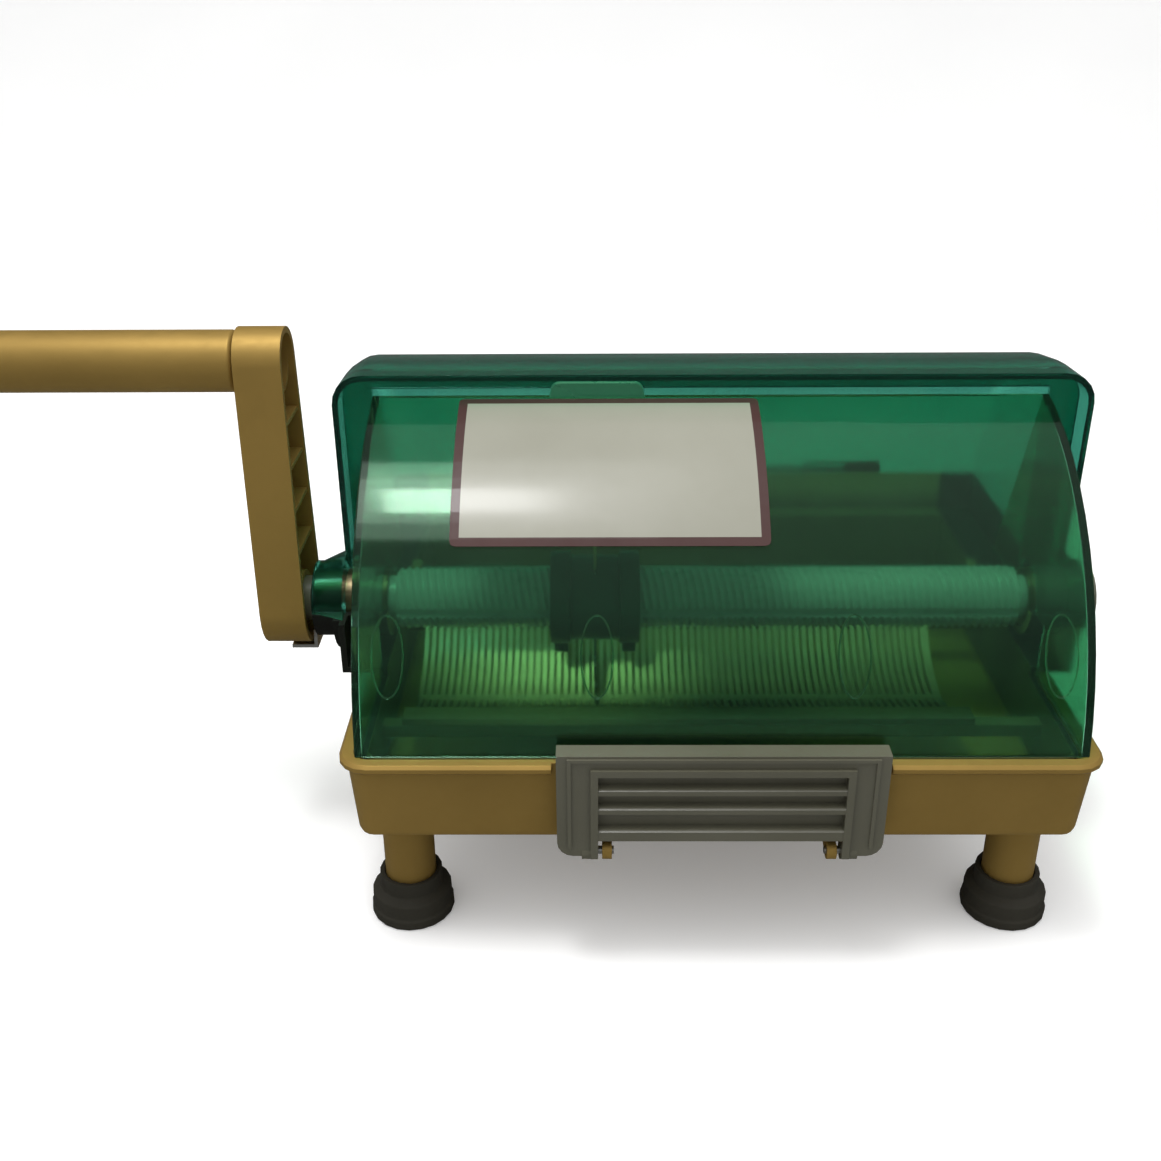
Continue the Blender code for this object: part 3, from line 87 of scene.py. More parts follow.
# Thin raised ovals on the front
OVAL_X = (-0.1199, -0.0448, 0.0471, 0.1206)
OVAL_ALONG = 0.1159
OVAL_HALF = (0.0057, 0.0149)
OVAL_BEAD_R = 0.00032
OVAL_BEAD_RISE = 0.7
OVAL_STEPS = 64
OVAL_SIDES = 6

# Lead screw: SCREW_HALF is half the threaded length, THREAD_SHAPE the groove's depth over a pitch
SCREW_R = 0.0127
SCREW_HALF = 0.1260
SCREW_STEPS = 40
THREAD_PITCH = 0.0031
THREAD_LEAD = 0.0124
THREAD_DEPTH = 0.0011
THREAD_SHAPE = (0.0, 0.0, 0.65, 1.0, 1.0, 0.65)
THREAD_RUNOUT = 0.0006
JOURNAL_R = 0.0090
JOURNAL_CHAMFER = 0.001
DRIVE_R = 0.0050
DRIVE_END = -0.1595
KEY_HALF = 0.0021
KEY_DEPTH = 0.0022
KEY_EDGE = 0.0015
KEY_TILT = radians(7.0)

# Grain of the materials, in features per metre
CLOUD = 14.0
FLECK = 260.0
FLOW = 9.0
HAZE = 60.0
WAVE = 24.0
BRUSH = 400.0
PAPER = 3.0

# Colours shared by materials: light through the hood and the front, and the tint of the plastic's gloss
HOOD_TINT = (0.76, 0.95, 0.85)
FRONT_TINT = (0.84, 0.96, 0.86)
GLOSS_TINT = (0.85, 1.0, 0.72)
FRAME_BLACK = (0.010, 0.011, 0.009)

# The inner frame shows black beyond this half width and behind this place
FRAME_SEEN_HALF = 0.1292
FRAME_SEEN_REAR = 0.1397

# Edges: vertices nearer than WELD are one, and faces flatter than FLAT are one
WELD = 0.000005
FLAT = radians(0.3)
SHARP = radians(35)
SHARP_MADE = radians(40)

# Backdrop: ends of the floor, and radius and top of the sweep behind it
FLOOR_FRONT = -3.0
FLOOR_REAR = 1.2
FLOOR_HALF = 4.0
SWEEP_R = 1.2
SWEEP_STEPS = 12
WALL_TOP = 4.0

# Light: how bright the sky is at the horizon, overhead, in reflections and where it is seen itself,
# and how much of the floor lights the object and shows in its gloss
SKY_LOW = 0.10
SKY_HIGH = 1.60
SKY_IN_GLOSS = 0.35
SKY_SEEN = 0.97
BOUNCE = (0.50, 0.50, 0.48)
MIRRORED = (0.10, 0.10, 0.095)
FLOOR_GLOW = 0.16
KEY_PLACE = (-0.165, -0.25, 1.50)
KEY_LIGHTS = (
    ("key_soft", 0.22, 0.25, 4.4),
    ("key_halo", 0.38, 0.48, 3.2),
    ("key_glow", 0.55, 0.85, 4.0),
)
BEAM_FROM = (-0.15, -0.75, 0.75)
BEAM_TO = (0.0035, -0.0096, 0.0645)
BEAM_CONE = radians(4.4)
BEAM_WATTS = 230.0
BEAM_SOFT = 0.04

# Camera
CAMERA_PITCH = radians(26.31)
CAMERA_YAW = radians(-0.63)
CAMERA_ROLL = radians(0.39)
CAMERA_PLACE = Vector((-0.04595, -0.4886, 0.2492)) + ORIGIN
CAMERA_SENSOR_MM = 36.0
CAMERA_LENS_MM = 41.216


# ---------------------------------------------------------------- nodes of the materials


def surface(name):
    made = bpy.data.materials.new(name)
    made.use_nodes = True
    tree = made.node_tree
    return made, tree, tree.nodes["Principled BSDF"]


def feed(tree, socket, value):
    """Link a socket, or set its constant; a colour comes without its alpha."""
    if isinstance(value, bpy.types.NodeSocket):
        tree.links.new(value, socket)
    elif socket.type == "RGBA":
        socket.default_value = (*value, 1.0)
    else:
        socket.default_value = value


def place_of(tree, scale=(1, 1, 1)):
    """Object coordinates, stretched: the grain stays on the piece when it moves."""
    where = tree.nodes.new("ShaderNodeTexCoord")
    stretch = tree.nodes.new("ShaderNodeMapping")
    feed(tree, stretch.inputs["Scale"], scale)
    feed(tree, stretch.inputs["Vector"], where.outputs["Object"])
    return stretch.outputs["Vector"]


def parts_of(tree, vector):
    made = tree.nodes.new("ShaderNodeSeparateXYZ")
    feed(tree, made.inputs["Vector"], vector)
    return made.outputs


def noise(tree, scale, detail=3.0, rough=0.5, stretch=(1, 1, 1)):
    made = tree.nodes.new("ShaderNodeTexNoise")
    feed(tree, made.inputs["Scale"], scale)
    feed(tree, made.inputs["Detail"], detail)
    feed(tree, made.inputs["Roughness"], rough)
    feed(tree, made.inputs["Vector"], place_of(tree, stretch))
    return made.outputs["Fac"]


def ramp(tree, value, low, low_colour, high, high_colour):
    made = tree.nodes.new("ShaderNodeValToRGB")
    stops = ((low, low_colour), (high, high_colour))
    for element, (place, colour) in zip(made.color_ramp.elements, stops):
        element.position = place
        element.color = (*colour, 1.0)
    feed(tree, made.inputs["Fac"], value)
    return made.outputs["Color"]


def remap(tree, value, from_low, from_high, low, high, kind="LINEAR"):
    made = tree.nodes.new("ShaderNodeMapRange")
    made.interpolation_type = kind
    feed(tree, made.inputs["From Min"], from_low)
    feed(tree, made.inputs["From Max"], from_high)
    feed(tree, made.inputs["To Min"], low)
    feed(tree, made.inputs["To Max"], high)
    feed(tree, made.inputs["Value"], value)
    return made.outputs["Result"]


def spread(tree, value, low, high):
    """The value's useful middle, 0.3 to 0.7, stretched from low to high."""
    return remap(tree, value, 0.3, 0.7, low, high)


def maths(tree, operation, first, second=None):
    made = tree.nodes.new("ShaderNodeMath")
    made.operation = operation
    feed(tree, made.inputs[0], first)
    if second is not None:
        feed(tree, made.inputs[1], second)
    return made.outputs["Value"]


def mix(tree, share, one, two):
    made = tree.nodes.new("ShaderNodeMixRGB")
    feed(tree, made.inputs["Fac"], share)
    feed(tree, made.inputs["Color1"], one)
    feed(tree, made.inputs["Color2"], two)
    return made.outputs["Color"]


def bump(tree, shader, height, strength, distance):
    made = tree.nodes.new("ShaderNodeBump")
    feed(tree, made.inputs["Strength"], strength)
    feed(tree, made.inputs["Distance"], distance)
    feed(tree, made.inputs["Height"], height)
    feed(tree, shader.inputs["Normal"], made.outputs["Normal"])


def painted(look):
    """A material's tree, its Base Color socket and what feeds it, so that more can be put between."""
    tree = look.node_tree
    socket = tree.nodes["Principled BSDF"].inputs["Base Color"]
    return tree, socket, socket.links[0].from_socket


# ---------------------------------------------------------------- kinds of material


def moulded(name, dark, light, rough, metallic=0.0, grain=900.0, depth=0.00006, coat=0.0, coat_rough=0.03,
            shine=0.5):
    """A moulded piece: cloudy colour, uneven gloss and a fine moulded grain."""
    made, tree, shader = surface(name)
    feed(tree, shader.inputs["Base Color"], ramp(tree, noise(tree, CLOUD, 4.0), 0.32, dark, 0.68, light))
    gloss = spread(tree, noise(tree, FLECK, 2.0), rough - 0.05, rough + 0.07)
    feed(tree, shader.inputs["Roughness"], gloss)
    bump(tree, shader, noise(tree, grain, 2.0), 0.35, depth)
    feed(tree, shader.inputs["Metallic"], metallic)
    feed(tree, shader.inputs["Coat Weight"], coat)
    feed(tree, shader.inputs["Coat Roughness"], coat_rough)
    feed(tree, shader.inputs["Specular IOR Level"], shine)
    return made


def metal(name, dark, light, rough, stretch):
    """Turned or brushed metal: fine lines across the stretched direction."""
    made, tree, shader = surface(name)
    lines = noise(tree, BRUSH, 3.0, 0.6, stretch)
    feed(tree, shader.inputs["Base Color"], ramp(tree, lines, 0.3, dark, 0.7, light))
    feed(tree, shader.inputs["Roughness"], spread(tree, lines, rough - 0.06, rough + 0.10))
    bump(tree, shader, lines, 0.25, 0.00004)
    feed(tree, shader.inputs["Metallic"], 1.0)
    return made


def clear_plastic(name, dark, light, tint, rough, shine=0.2, gloss=GLOSS_TINT, clear=0.99):
    """Tinted clear plastic with slight flow marks and a little haze; light passes straight into it."""
    made, tree, shader = surface(name)
    flow = noise(tree, FLOW, 3.0, 0.5, (0.5, 1.0, 1.0))
    feed(tree, shader.inputs["Base Color"], ramp(tree, flow, 0.3, dark, 0.7, light))
    feed(tree, shader.inputs["Roughness"], spread(tree, noise(tree, HAZE, 3.0), rough, rough + 0.05))
    bump(tree, shader, noise(tree, WAVE, 2.0), 0.12, 0.0004)
    feed(tree, shader.inputs["Transmission Weight"], clear)
    feed(tree, shader.inputs["IOR"], 1.40)
    feed(tree, shader.inputs["Specular IOR Level"], shine)
    feed(tree, shader.inputs["Specular Tint"], gloss)
    through = tree.nodes.new("ShaderNodeBsdfTransparent")
    feed(tree, through.inputs["Color"], tint)
    rays = tree.nodes.new("ShaderNodeLightPath").outputs
    choice = tree.nodes.new("ShaderNodeMixShader")
    straight = maths(tree, "MAXIMUM", rays["Is Shadow Ray"], rays["Is Diffuse Ray"])
    feed(tree, choice.inputs["Fac"], straight)
    feed(tree, choice.inputs[1], shader.outputs["BSDF"])
    feed(tree, choice.inputs[2], through.outputs["BSDF"])
    feed(tree, tree.nodes["Material Output"].inputs["Surface"], choice.outputs["Shader"])
    return made


def paint_light_by_facing(look, upward, downward):
    """Painted light by facing: a lighter colour on the plastic's upward faces as a painted highlight of the
    overhead light, and a darker one on its lower edges as painted shade.
    """
    for colour, sign in ((upward, 1.0), (downward, -1.0)):
        tree, socket, paint = painted(look)
        facing = tree.nodes.new("ShaderNodeTexCoord").outputs["Normal"]
        share = remap(tree, parts_of(tree, facing)["Z"], sign * 0.55, sign * 0.95, 0.0, 1.0)
        feed(tree, socket, mix(tree, share, paint, colour))


def fade(look, axis, start, end, first, last):
    """Scale a colour along an axis, from the first share at start to the last at end."""
    tree, socket, paint = painted(look)
    share = remap(tree, parts_of(tree, place_of(tree))[axis], start, end, first, last, "SMOOTHSTEP")
    scaled = tree.nodes.new("ShaderNodeVectorMath")
    scaled.operation = "SCALE"
    feed(tree, scaled.inputs[0], paint)
    feed(tree, scaled.inputs["Scale"], share)
    feed(tree, socket, scaled.outputs["Vector"])


def black_outside(look, half_width, rear):
    """The frame is black where it shows outside the cover: beyond the half width, or behind the rear."""
    tree, socket, paint = painted(look)
    place = parts_of(tree, place_of(tree))
    off_middle = maths(tree, "ABSOLUTE", maths(tree, "SUBTRACT", place["X"], ORIGIN.x))
    beside = maths(tree, "GREATER_THAN", off_middle, half_width)
    behind = maths(tree, "GREATER_THAN", place["Y"], ORIGIN.y + rear)
    feed(tree, socket, mix(tree, maths(tree, "MAXIMUM", beside, behind), paint, FRAME_BLACK))


# ---------------------------------------------------------------- materials

GOLD = moulded("gold_lacquer", (0.320, 0.205, 0.052), (0.395, 0.255, 0.067), 0.46, metallic=0.55,
               grain=1400.0, depth=0.00003, shine=0.3)
GREEN = clear_plastic("emerald_plastic", (0.036, 0.235, 0.165), (0.052, 0.285, 0.20), HOOD_TINT, 0.11,
                      shine=0.6, gloss=(0.60, 1.0, 0.82))
# Painted highlight on the hood's upward faces, painted shade on its lower edges
paint_light_by_facing(GREEN, (0.13, 0.62, 0.44), (0.010, 0.075, 0.055))
FRONT_GREEN = clear_plastic("front_plastic", (0.132, 0.430, 0.262), (0.168, 0.497, 0.306), FRONT_TINT,
                            0.062, shine=0.45, gloss=(0.75, 1.0, 0.80))
# Oval plastic: a paler copy of the front plastic, a painted highlight on the raised beads
OVAL_PAINTED_HIGHLIGHT = clear_plastic("oval_painted_highlight", (0.30, 0.62, 0.42), (0.38, 0.70, 0.50), FRONT_TINT, 0.10,
                           shine=0.4)
# Tab plastic: a hazier, less clear copy of the front plastic, so that the tab reads lighter; painted light
TAB_PAINTED_LIGHT = clear_plastic("tab_painted_light", (0.065, 0.25, 0.155), (0.085, 0.29, 0.19), HOOD_TINT, 0.25,
                          shine=0.5, clear=0.5)
BLACK = moulded("black_moulding", (0.006, 0.007, 0.005), (0.012, 0.013, 0.010), 0.50, shine=0.05)
INNER = moulded("frame_moulding", (0.070, 0.060, 0.026), (0.100, 0.088, 0.040), 0.50, shine=0.12)
# Painted light: the inner frame grows up to three times lighter towards its top
fade(INNER, "Z", ORIGIN.z - 0.020, ORIGIN.z - 0.006, 1.0, 3.0)
black_outside(INNER, FRAME_SEEN_HALF, FRAME_SEEN_REAR)
OLIVE = moulded("trough_plastic", (0.53, 0.40, 0.19), (0.63, 0.48, 0.24), 0.34, coat=0.2)
# Painted shade: the trough darkens towards its front, down to 0.15 of its colour
fade(OLIVE, "Y", ORIGIN.y - 0.010, ORIGIN.y + 0.014, 0.15, 1.0)
# Painted shade: the trough's right part is dimmer, down to 0.75, than its lit left part
fade(OLIVE, "X", ORIGIN.x - 0.030, ORIGIN.x + 0.010, 1.0, 0.75)
GREY = moulded("grey_moulding", (0.086, 0.083, 0.054), (0.112, 0.109, 0.076), 0.36, shine=0.9)
DARK_GREY = moulded("nut_moulding", (0.018, 0.030, 0.024), (0.028, 0.044, 0.036), 0.40)
SCREW_GREY = moulded("screw_moulding", (0.24, 0.29, 0.27), (0.32, 0.37, 0.345), 0.30, coat=0.4)
RUBBER = moulded("foot_rubber", (0.028, 0.026, 0.018), (0.040, 0.037, 0.027), 0.70, grain=1800.0,
                 depth=0.00010, shine=0.3)
STEEL = metal("knife_steel", (0.50, 0.51, 0.50), (0.68, 0.69, 0.67), 0.22, (1.0, 1.0, 0.04))
PIN_STEEL = metal("pin_steel", (0.45, 0.45, 0.43), (0.62, 0.62, 0.60), 0.28, (0.04, 1.0, 1.0))
BRONZE = metal("bush_bronze", (0.16, 0.125, 0.070), (0.24, 0.19, 0.11), 0.34, (0.04, 1.0, 1.0))
LABEL = moulded("label_card", (0.266, 0.264, 0.212), (0.302, 0.300, 0.246), 0.50, grain=700.0,
                depth=0.00002, coat=0.5, coat_rough=0.16, shine=0.2)
BORDER = moulded("label_border", (0.052, 0.022, 0.020), (0.072, 0.032, 0.029), 0.50, grain=700.0,
                 depth=0.00002, coat=0.25, shine=0.2)

BY_SLOT = {
    "gold": GOLD,
    "green": GREEN,
    "black": BLACK,
    "olive": OLIVE,
    "grey": GREY,
    "rubber": RUBBER,
    "steel": PIN_STEEL,
    "bronze": BRONZE,
}
BY_NODE = {
    "inner_frame": INNER,
    "knife_lower": STEEL,
    "knife_upper": STEEL,
    "carriage_nut_left": DARK_GREY,
    "carriage_nut_right": DARK_GREY,
    "knife_hub": DARK_GREY,
}

for entry in frame["record"]["subparts"]:
    node = entry["node"]
    slots = nodes_of[node].data.materials
    slots.clear()
    slots.append(BY_NODE.get(node, BY_SLOT[entry["material_slot"]]))


# ---------------------------------------------------------------- edges of the CAD pieces


def round_edges(piece, width):
    """Small rounds on the sharp edges, so that they catch the light."""
    weld = piece.modifiers.new("weld", "WELD")
    weld.merge_threshold = WELD
    flats = piece.modifiers.new("flats", "DECIMATE")
    flats.decimate_type = "DISSOLVE"
    flats.angle_limit = FLAT
    edge = piece.modifiers.new("edges", "BEVEL")
    edge.width = width
    edge.segments = 2
    edge.limit_method = "ANGLE"
    edge.angle_limit = SHARP
    even = piece.modifiers.new("even", "WEIGHTED_NORMAL")
    even.weight = 60
    piece.data.shade_smooth()


for width, rounded in (
    (0.0008, ("base_tray",)),
    (0.0007, ("crank_arm",)),
    (0.0006, ("rear_hood", "handle_grip", "grip_end_cap")),
    (0.0005, ("front_latch", "foot_front_left", "foot_front_right", "foot_rear_left", "foot_rear_right")),
    (0.0004, ("inner_frame", "knife_hub", "carriage_nut_left", "carriage_nut_right")),
    (0.0004, ("leg_front_left", "leg_front_right", "leg_rear_left", "leg_rear_right")),
    (0.0003, ("arm_clip", "grip_axle", "drive_insert", "bush_left", "bush_right", "guide_shoe")),
    (0.0002, ("slotted_trough",)),
):
    for node in rounded:
        round_edges(nodes_of[node], width)


# ---------------------------------------------------------------- pieces made here


def piece_from(name, work, *looks):
    mesh = bpy.data.meshes.new(name)
    bmesh.ops.recalc_face_normals(work, faces=work.faces[:])
    work.to_mesh(mesh)
    work.free()
    made = bpy.data.objects.new(name, mesh)
    bpy.context.scene.collection.objects.link(made)
    for look in looks:
        mesh.materials.append(look)
    mesh.shade_smooth()
    mesh.set_sharp_from_angle(angle=SHARP_MADE)
    return made


def skin(work, rings):
    """Quads from each ring to the next."""
    for one, two in zip(rings, rings[1:]):
        for i in range(len(one)):
            j = (i + 1) % len(one)
            work.faces.new((one[i], one[j], two[j], two[i]))


def thread_depth(x, angle):
    """Share of the thread's depth at a place on the screw, from 0 on its crest to 1 in its groove."""
    turn = (x + THREAD_LEAD * angle / (2 * pi)) / THREAD_PITCH
    share = (turn - floor(turn)) * len(THREAD_SHAPE)
    low = int(share) % len(THREAD_SHAPE)
    part = share - int(share)
    return THREAD_SHAPE[low] * (1 - part) + THREAD_SHAPE[(low + 1) % len(THREAD_SHAPE)] * part


def screw_radius(kind, x, angle, in_slot):
    if kind == "drive":
        return DRIVE_R
    if kind == "journal":
        return JOURNAL_R
    if kind == "end":
        return JOURNAL_R - JOURNAL_CHAMFER
    if in_slot:
        return (SCREW_R - KEY_DEPTH) / cos(angle)
    taper = min(1.0, (SCREW_HALF - abs(x)) / THREAD_PITCH)
    return SCREW_R - THREAD_RUNOUT * (1 - taper) - THREAD_DEPTH * thread_depth(x, angle)


def screw_piece():
    """The lead screw with its four-start thread and keyway, its journals and the driven end."""
    box_low, box_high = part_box("lead_screw")
    left, right = box_low.x - ORIGIN.x, box_high.x - ORIGIN.x
    slot = asin(KEY_HALF / SCREW_R)
    columns = []
    for i in range(SCREW_STEPS):
        columns.append((slot + (2 * pi - 2 * slot) * i / (SCREW_STEPS - 1), False))
    for angle in (-slot + KEY_EDGE, -slot / 2, 0.0, slot / 2, slot - KEY_EDGE):
        columns.append((2 * pi + angle, True))
    stations = [(left, "drive"), (DRIVE_END, "drive"), (DRIVE_END, "journal"), (-SCREW_HALF, "journal")]
    count = int(round(2 * SCREW_HALF / THREAD_PITCH * len(THREAD_SHAPE)))
    for i in range(count + 1):
        stations.append((-SCREW_HALF + 2 * SCREW_HALF * i / count, "thread"))
    stations += [(SCREW_HALF, "journal"), (right - JOURNAL_CHAMFER, "journal"), (right, "end")]
    work = bmesh.new()
    rings = []
    for x, kind in stations:
        ring = []
        for angle, in_slot in columns:
            r = screw_radius(kind, x, angle, in_slot)
            turned = angle + pi - KEY_TILT
            ring.append(work.verts.new(ORIGIN + Vector((x, r * cos(turned), -r * sin(turned)))))
        rings.append(ring)
    skin(work, rings)
    work.faces.new(rings[0])
    work.faces.new(rings[-1][::-1])
    made = piece_from("lead_screw_threaded", work, SCREW_GREY)
    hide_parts("lead_screw")
    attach(made, "crank")


def front_piece():
    """The curved front as in the frame, with its finger tab standing on the top edge, under the hood."""
    work = bmesh.new()
    work.from_mesh(nodes_of["front_cover"].data)
    bmesh.ops.remove_doubles(work, verts=work.verts[:], dist=WELD)
    raised = []
    for vert in work.verts:
        place = vert.co - ORIGIN
        if hypot(place.y - ARC_CENTRE[0], place.z - ARC_CENTRE[1]) > ARC_R + RAISED:
            raised.append(vert)
    old_tab = {face for vert in raised for face in vert.link_faces}
    bmesh.ops.delete(work, geom=list(old_tab), context="FACES")
    open_edges = [edge for edge in work.edges if edge.is_boundary]
    bmesh.ops.holes_fill(work, edges=open_edges, sides=0)
    outline = [(TAB_HALF, TAB_LOW)]
    for i in range(TAB_CORNER_STEPS + 1):
        angle = pi / 2 * i / TAB_CORNER_STEPS
        outline.append((
            TAB_HALF - TAB_LEAN - TAB_TOP_R * (1 - cos(angle)),
            TAB_HIGH - TAB_TOP_R * (1 - sin(angle)),
        ))
    outline += [(-x, z) for x, z in reversed(outline)]
    near, far = (
        [work.verts.new(ORIGIN + Vector((TAB_X + x, y, z))) for x, z in outline]
        for y in (TAB_FRONT, TAB_FRONT + TAB_THICK)
    )
    work.faces.new(near)
    work.faces.new(far[::-1])
    skin(work, [near, far])
    # The tab's faces take the tab plastic, with its painted light
    for vert in near + far:
        for face in vert.link_faces:
            face.material_index = 1
    made = piece_from("front_cover_clear", work, FRONT_GREEN, TAB_PAINTED_LIGHT)
    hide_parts("front_cover")
    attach(made, "cover")
    round_edges(made, 0.0006)


def front_point(x, along, lift=0.0):
    """A point on the curved front: x across, along from its top edge down, lift off its face."""
    angle = ARC_START + along / ARC_R
    r = ARC_R + lift
    return ORIGIN + Vector((x, ARC_CENTRE[0] + r * cos(angle), ARC_CENTRE[1] + r * sin(angle)))


def plate_lines(low, high, count):
    """Grid lines over the plate: its ends and margins, two on each corner's round and even ones between."""
    marks = {low, low + PLATE_CORNER * 0.3, low + PLATE_CORNER, low + PLATE_MARGIN,
             high - PLATE_MARGIN, high - PLATE_CORNER, high - PLATE_CORNER * 0.3, high}
    for i in range(1, count):
        marks.add(low + PLATE_MARGIN + (high - low - 2 * PLATE_MARGIN) * i / count)
    return sorted(marks)


def on_plate(x, along):
    """The place itself, or its nearest on the round where it lies outside a corner."""
    middle_x = min(max(x, PLATE_X[0] + PLATE_CORNER), PLATE_X[1] - PLATE_CORNER)
    middle_along = min(max(along, PLATE_ALONG[0] + PLATE_CORNER), PLATE_ALONG[1] - PLATE_CORNER)
    gap = hypot(x - middle_x, along - middle_along)
    if gap <= PLATE_CORNER + 1e-9:
        return x, along
    share = PLATE_CORNER / gap
    return middle_x + (x - middle_x) * share, middle_along + (along - middle_along) * share


def in_field(low, high, ends):
    """Whether the middle of a cell lies inside the border, across or along."""
    return ends[0] + PLATE_MARGIN < (low + high) / 2 < ends[1] - PLATE_MARGIN


def plate_piece():
    """A blank plate on the front: a cream field inside a plain dark border."""
    xs = plate_lines(*PLATE_X, PLATE_COLUMNS)
    ss = plate_lines(*PLATE_ALONG, PLATE_ROWS)
    work = bmesh.new()
    top, under = {}, {}
    for a, x in enumerate(xs):
        for b, s in enumerate(ss):
            place = on_plate(x, s)
            top[a, b] = work.verts.new(front_point(*place, PLATE_LIFT))
            under[a, b] = work.verts.new(front_point(*place, PLATE_SUNK))
    last_x, last_s = len(xs) - 1, len(ss) - 1
    field = []
    for a in range(last_x):
        for b in range(last_s):
            cell = [(a, b), (a + 1, b), (a + 1, b + 1), (a, b + 1)]
            above = work.faces.new([top[k] for k in cell])
            below = work.faces.new([under[k] for k in cell[::-1]])
            if in_field(xs[a], xs[a + 1], PLATE_X) and in_field(ss[b], ss[b + 1], PLATE_ALONG):
                field += [above, below]
    rim = [(a, 0) for a in range(last_x + 1)]
    rim += [(last_x, b) for b in range(1, last_s + 1)]
    rim += [(a, last_s) for a in range(last_x - 1, -1, -1)]
    rim += [(0, b) for b in range(last_s - 1, 0, -1)]
    skin(work, [[top[k] for k in rim], [under[k] for k in rim]])
    for face in work.faces:
        face.material_index = 1
    for face in field:
        face.material_index = 0
    made = piece_from("front_plate_blank", work, LABEL, BORDER)
    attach(made, "cover")


def oval_piece(name, x):
    """A thin raised oval line moulded on the curved front."""
    half_x, half_s = OVAL_HALF
    work = bmesh.new()
    rings = []
    for i in range(OVAL_STEPS):
        angle = 2 * pi * i / OVAL_STEPS
        out = Vector((cos(angle) / half_x, sin(angle) / half_s)).normalized()
        ring = []
        for k in range(OVAL_SIDES):
            turn = 2 * pi * k / OVAL_SIDES
            reach = OVAL_BEAD_R * cos(turn)
            ring.append(work.verts.new(front_point(
                x + half_x * cos(angle) + out.x * reach,
                OVAL_ALONG + half_s * sin(angle) + out.y * reach,
                OVAL_BEAD_R * OVAL_BEAD_RISE * sin(turn),
            )))
        rings.append(ring)
    skin(work, rings + rings[:1])
    # The ovals take the paler plastic, a painted highlight
    made = piece_from(name, work, OVAL_PAINTED_HIGHLIGHT)
    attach(made, "cover")


screw_piece()
front_piece()
plate_piece()
for index, x in enumerate(OVAL_X):
    oval_piece("front_oval_%d" % (index + 1), x)


# ---------------------------------------------------------------- floor, light and camera


def backdrop():
    """A pale sweep: floor in front, curving up far behind. It is dimmer in what it lights and mirrors."""
    line = [(FLOOR_FRONT, 0.0), (FLOOR_REAR, 0.0)]
    for i in range(1, SWEEP_STEPS + 1):
        angle = pi / 2 * i / SWEEP_STEPS
        line.append((FLOOR_REAR + SWEEP_R * sin(angle), SWEEP_R - SWEEP_R * cos(angle)))
    line.append((FLOOR_REAR + SWEEP_R, WALL_TOP))
    work = bmesh.new()
    left, right = ([work.verts.new((x, y, z)) for y, z in line] for x in (-FLOOR_HALF, FLOOR_HALF))
    for i in range(len(line) - 1):
        work.faces.new((left[i], left[i + 1], right[i + 1], right[i]))
    made, tree, shader = surface("pale_paper")
    paper = ramp(tree, noise(tree, PAPER, 2.0), 0.3, (0.90, 0.90, 0.90), 0.7, (0.93, 0.93, 0.93))
    rays = tree.nodes.new("ShaderNodeLightPath").outputs
    given = mix(tree, rays["Is Diffuse Ray"], MIRRORED, BOUNCE)
    seen = maths(tree, "MAXIMUM", rays["Is Camera Ray"], rays["Is Transmission Ray"])
    feed(tree, shader.inputs["Base Color"], mix(tree, seen, given, paper))
    feed(tree, shader.inputs["Emission Strength"], maths(tree, "MULTIPLY", seen, FLOOR_GLOW))
    feed(tree, shader.inputs["Emission Color"], (1.0, 1.0, 1.0))
    feed(tree, shader.inputs["Roughness"], 0.85)
    piece_from("pale_floor", work, made)


def light_at(name, kind, place, watts):
    light = bpy.data.lights.new(name, kind)
    light.energy = watts
    made = bpy.data.objects.new(name, light)
    made.location = place
    bpy.context.scene.collection.objects.link(made)
    return made, light


def key_light(name, width, depth, watts):
    """A level rectangle that shines straight down."""
    _, light = light_at(name, "AREA", KEY_PLACE, watts)
    light.shape = "RECTANGLE"
    light.size = width
    light.size_y = depth


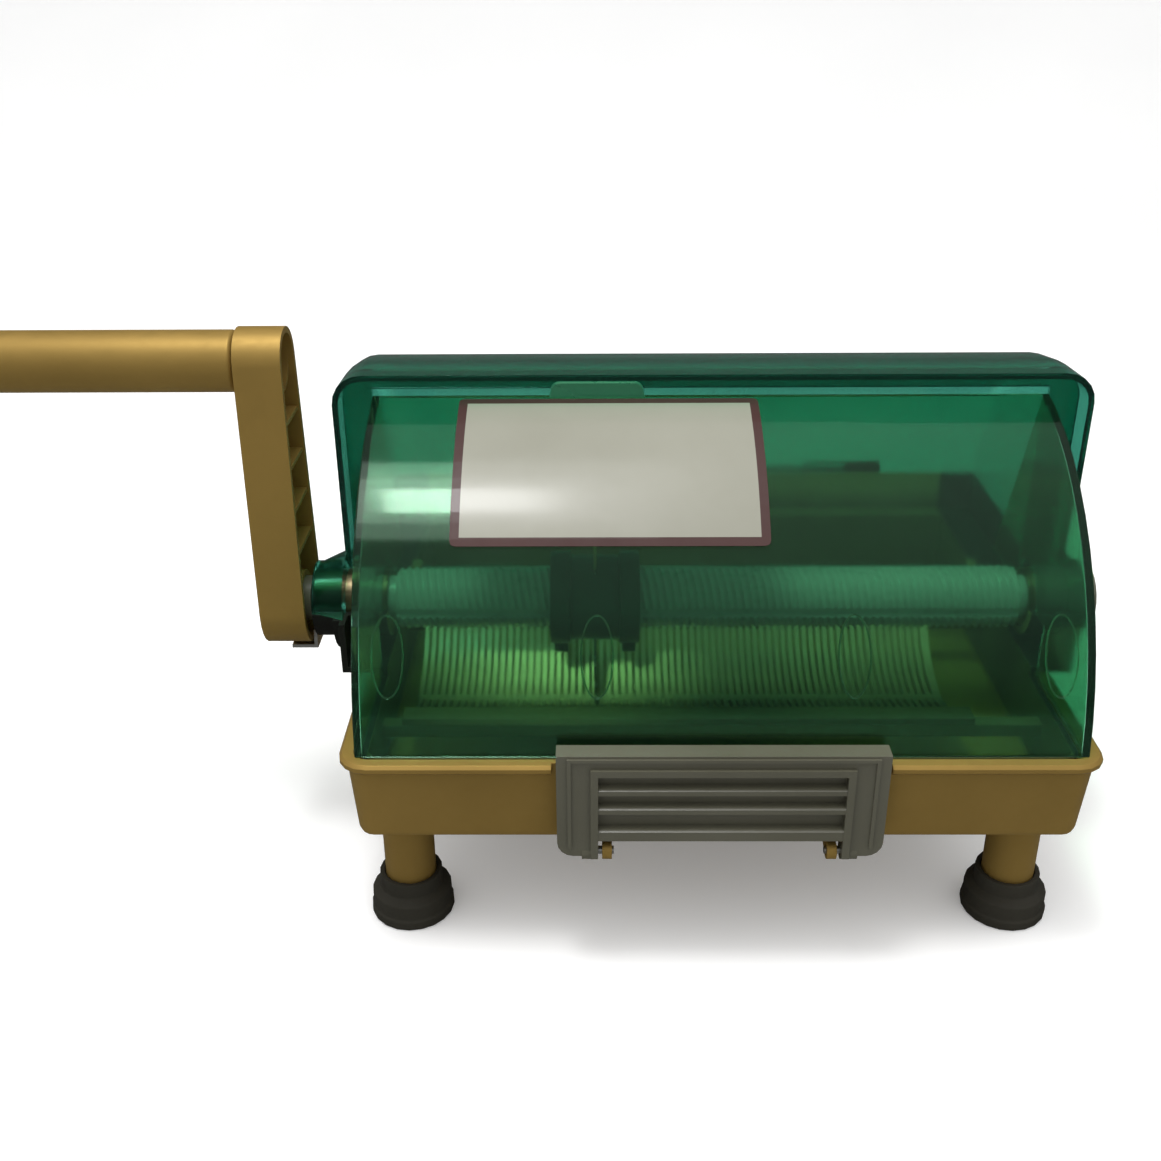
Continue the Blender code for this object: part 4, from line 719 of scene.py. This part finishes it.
def trough_beam():
    """A soft round beam on the trough alone, which doesn't show as a reflection."""
    made, light = light_at("trough_beam", "SPOT", BEAM_FROM, BEAM_WATTS)
    light.spot_size = BEAM_CONE
    light.spot_blend = 1.0
    light.shadow_soft_size = BEAM_SOFT
    aim = Vector(BEAM_TO) - Vector(BEAM_FROM)
    made.rotation_euler = aim.to_track_quat("-Z", "Y").to_euler()
    made.visible_glossy = False
    made.visible_transmission = False
    lit = bpy.data.collections.new("trough_beam")
    lit.objects.link(nodes_of["slotted_trough"])
    made.light_linking.receiver_collection = lit


def sky():
    """Brightest overhead and dim near the horizon, but plain where the camera sees it."""
    world = bpy.data.worlds.new("studio")
    bpy.context.scene.world = world
    world.use_nodes = True
    tree = world.node_tree
    glow = tree.nodes["Background"]
    feed(tree, glow.inputs["Color"], (1.0, 1.0, 1.0))
    way = tree.nodes.new("ShaderNodeTexCoord").outputs["Generated"]
    height = remap(tree, parts_of(tree, way)["Z"], 0.0, 1.0, SKY_LOW, SKY_HIGH)
    rays = tree.nodes.new("ShaderNodeLightPath").outputs
    gloss = remap(tree, rays["Is Glossy Ray"], 0.0, 1.0, 1.0, SKY_IN_GLOSS)
    given = maths(tree, "MULTIPLY", height, gloss)
    feed(tree, glow.inputs["Strength"], remap(tree, rays["Is Camera Ray"], 0.0, 1.0, given, SKY_SEEN))


def photo_camera():
    """The camera that was fitted to the photo, from its pitch, yaw and roll."""
    forward = Vector((
        sin(CAMERA_YAW) * cos(CAMERA_PITCH),
        cos(CAMERA_YAW) * cos(CAMERA_PITCH),
        -sin(CAMERA_PITCH),
    ))
    level = Vector((cos(CAMERA_YAW), -sin(CAMERA_YAW), 0.0))
    below = forward.cross(level)
    right_side = cos(CAMERA_ROLL) * level + sin(CAMERA_ROLL) * below
    downward = cos(CAMERA_ROLL) * below - sin(CAMERA_ROLL) * level
    lens = bpy.data.cameras.new("photo_view")
    lens.sensor_width = CAMERA_SENSOR_MM
    lens.lens = CAMERA_LENS_MM
    camera = bpy.data.objects.new("photo_view", lens)
    bpy.context.scene.collection.objects.link(camera)
    turn = Matrix((right_side, -downward, -forward)).transposed().to_4x4()
    camera.matrix_world = Matrix.Translation(CAMERA_PLACE) @ turn
    bpy.context.scene.camera = camera


backdrop()
for name, width, depth, watts in KEY_LIGHTS:
    key_light(name, width, depth, watts)
trough_beam()
sky()
bpy.context.scene.view_settings.view_transform = "Standard"
photo_camera()
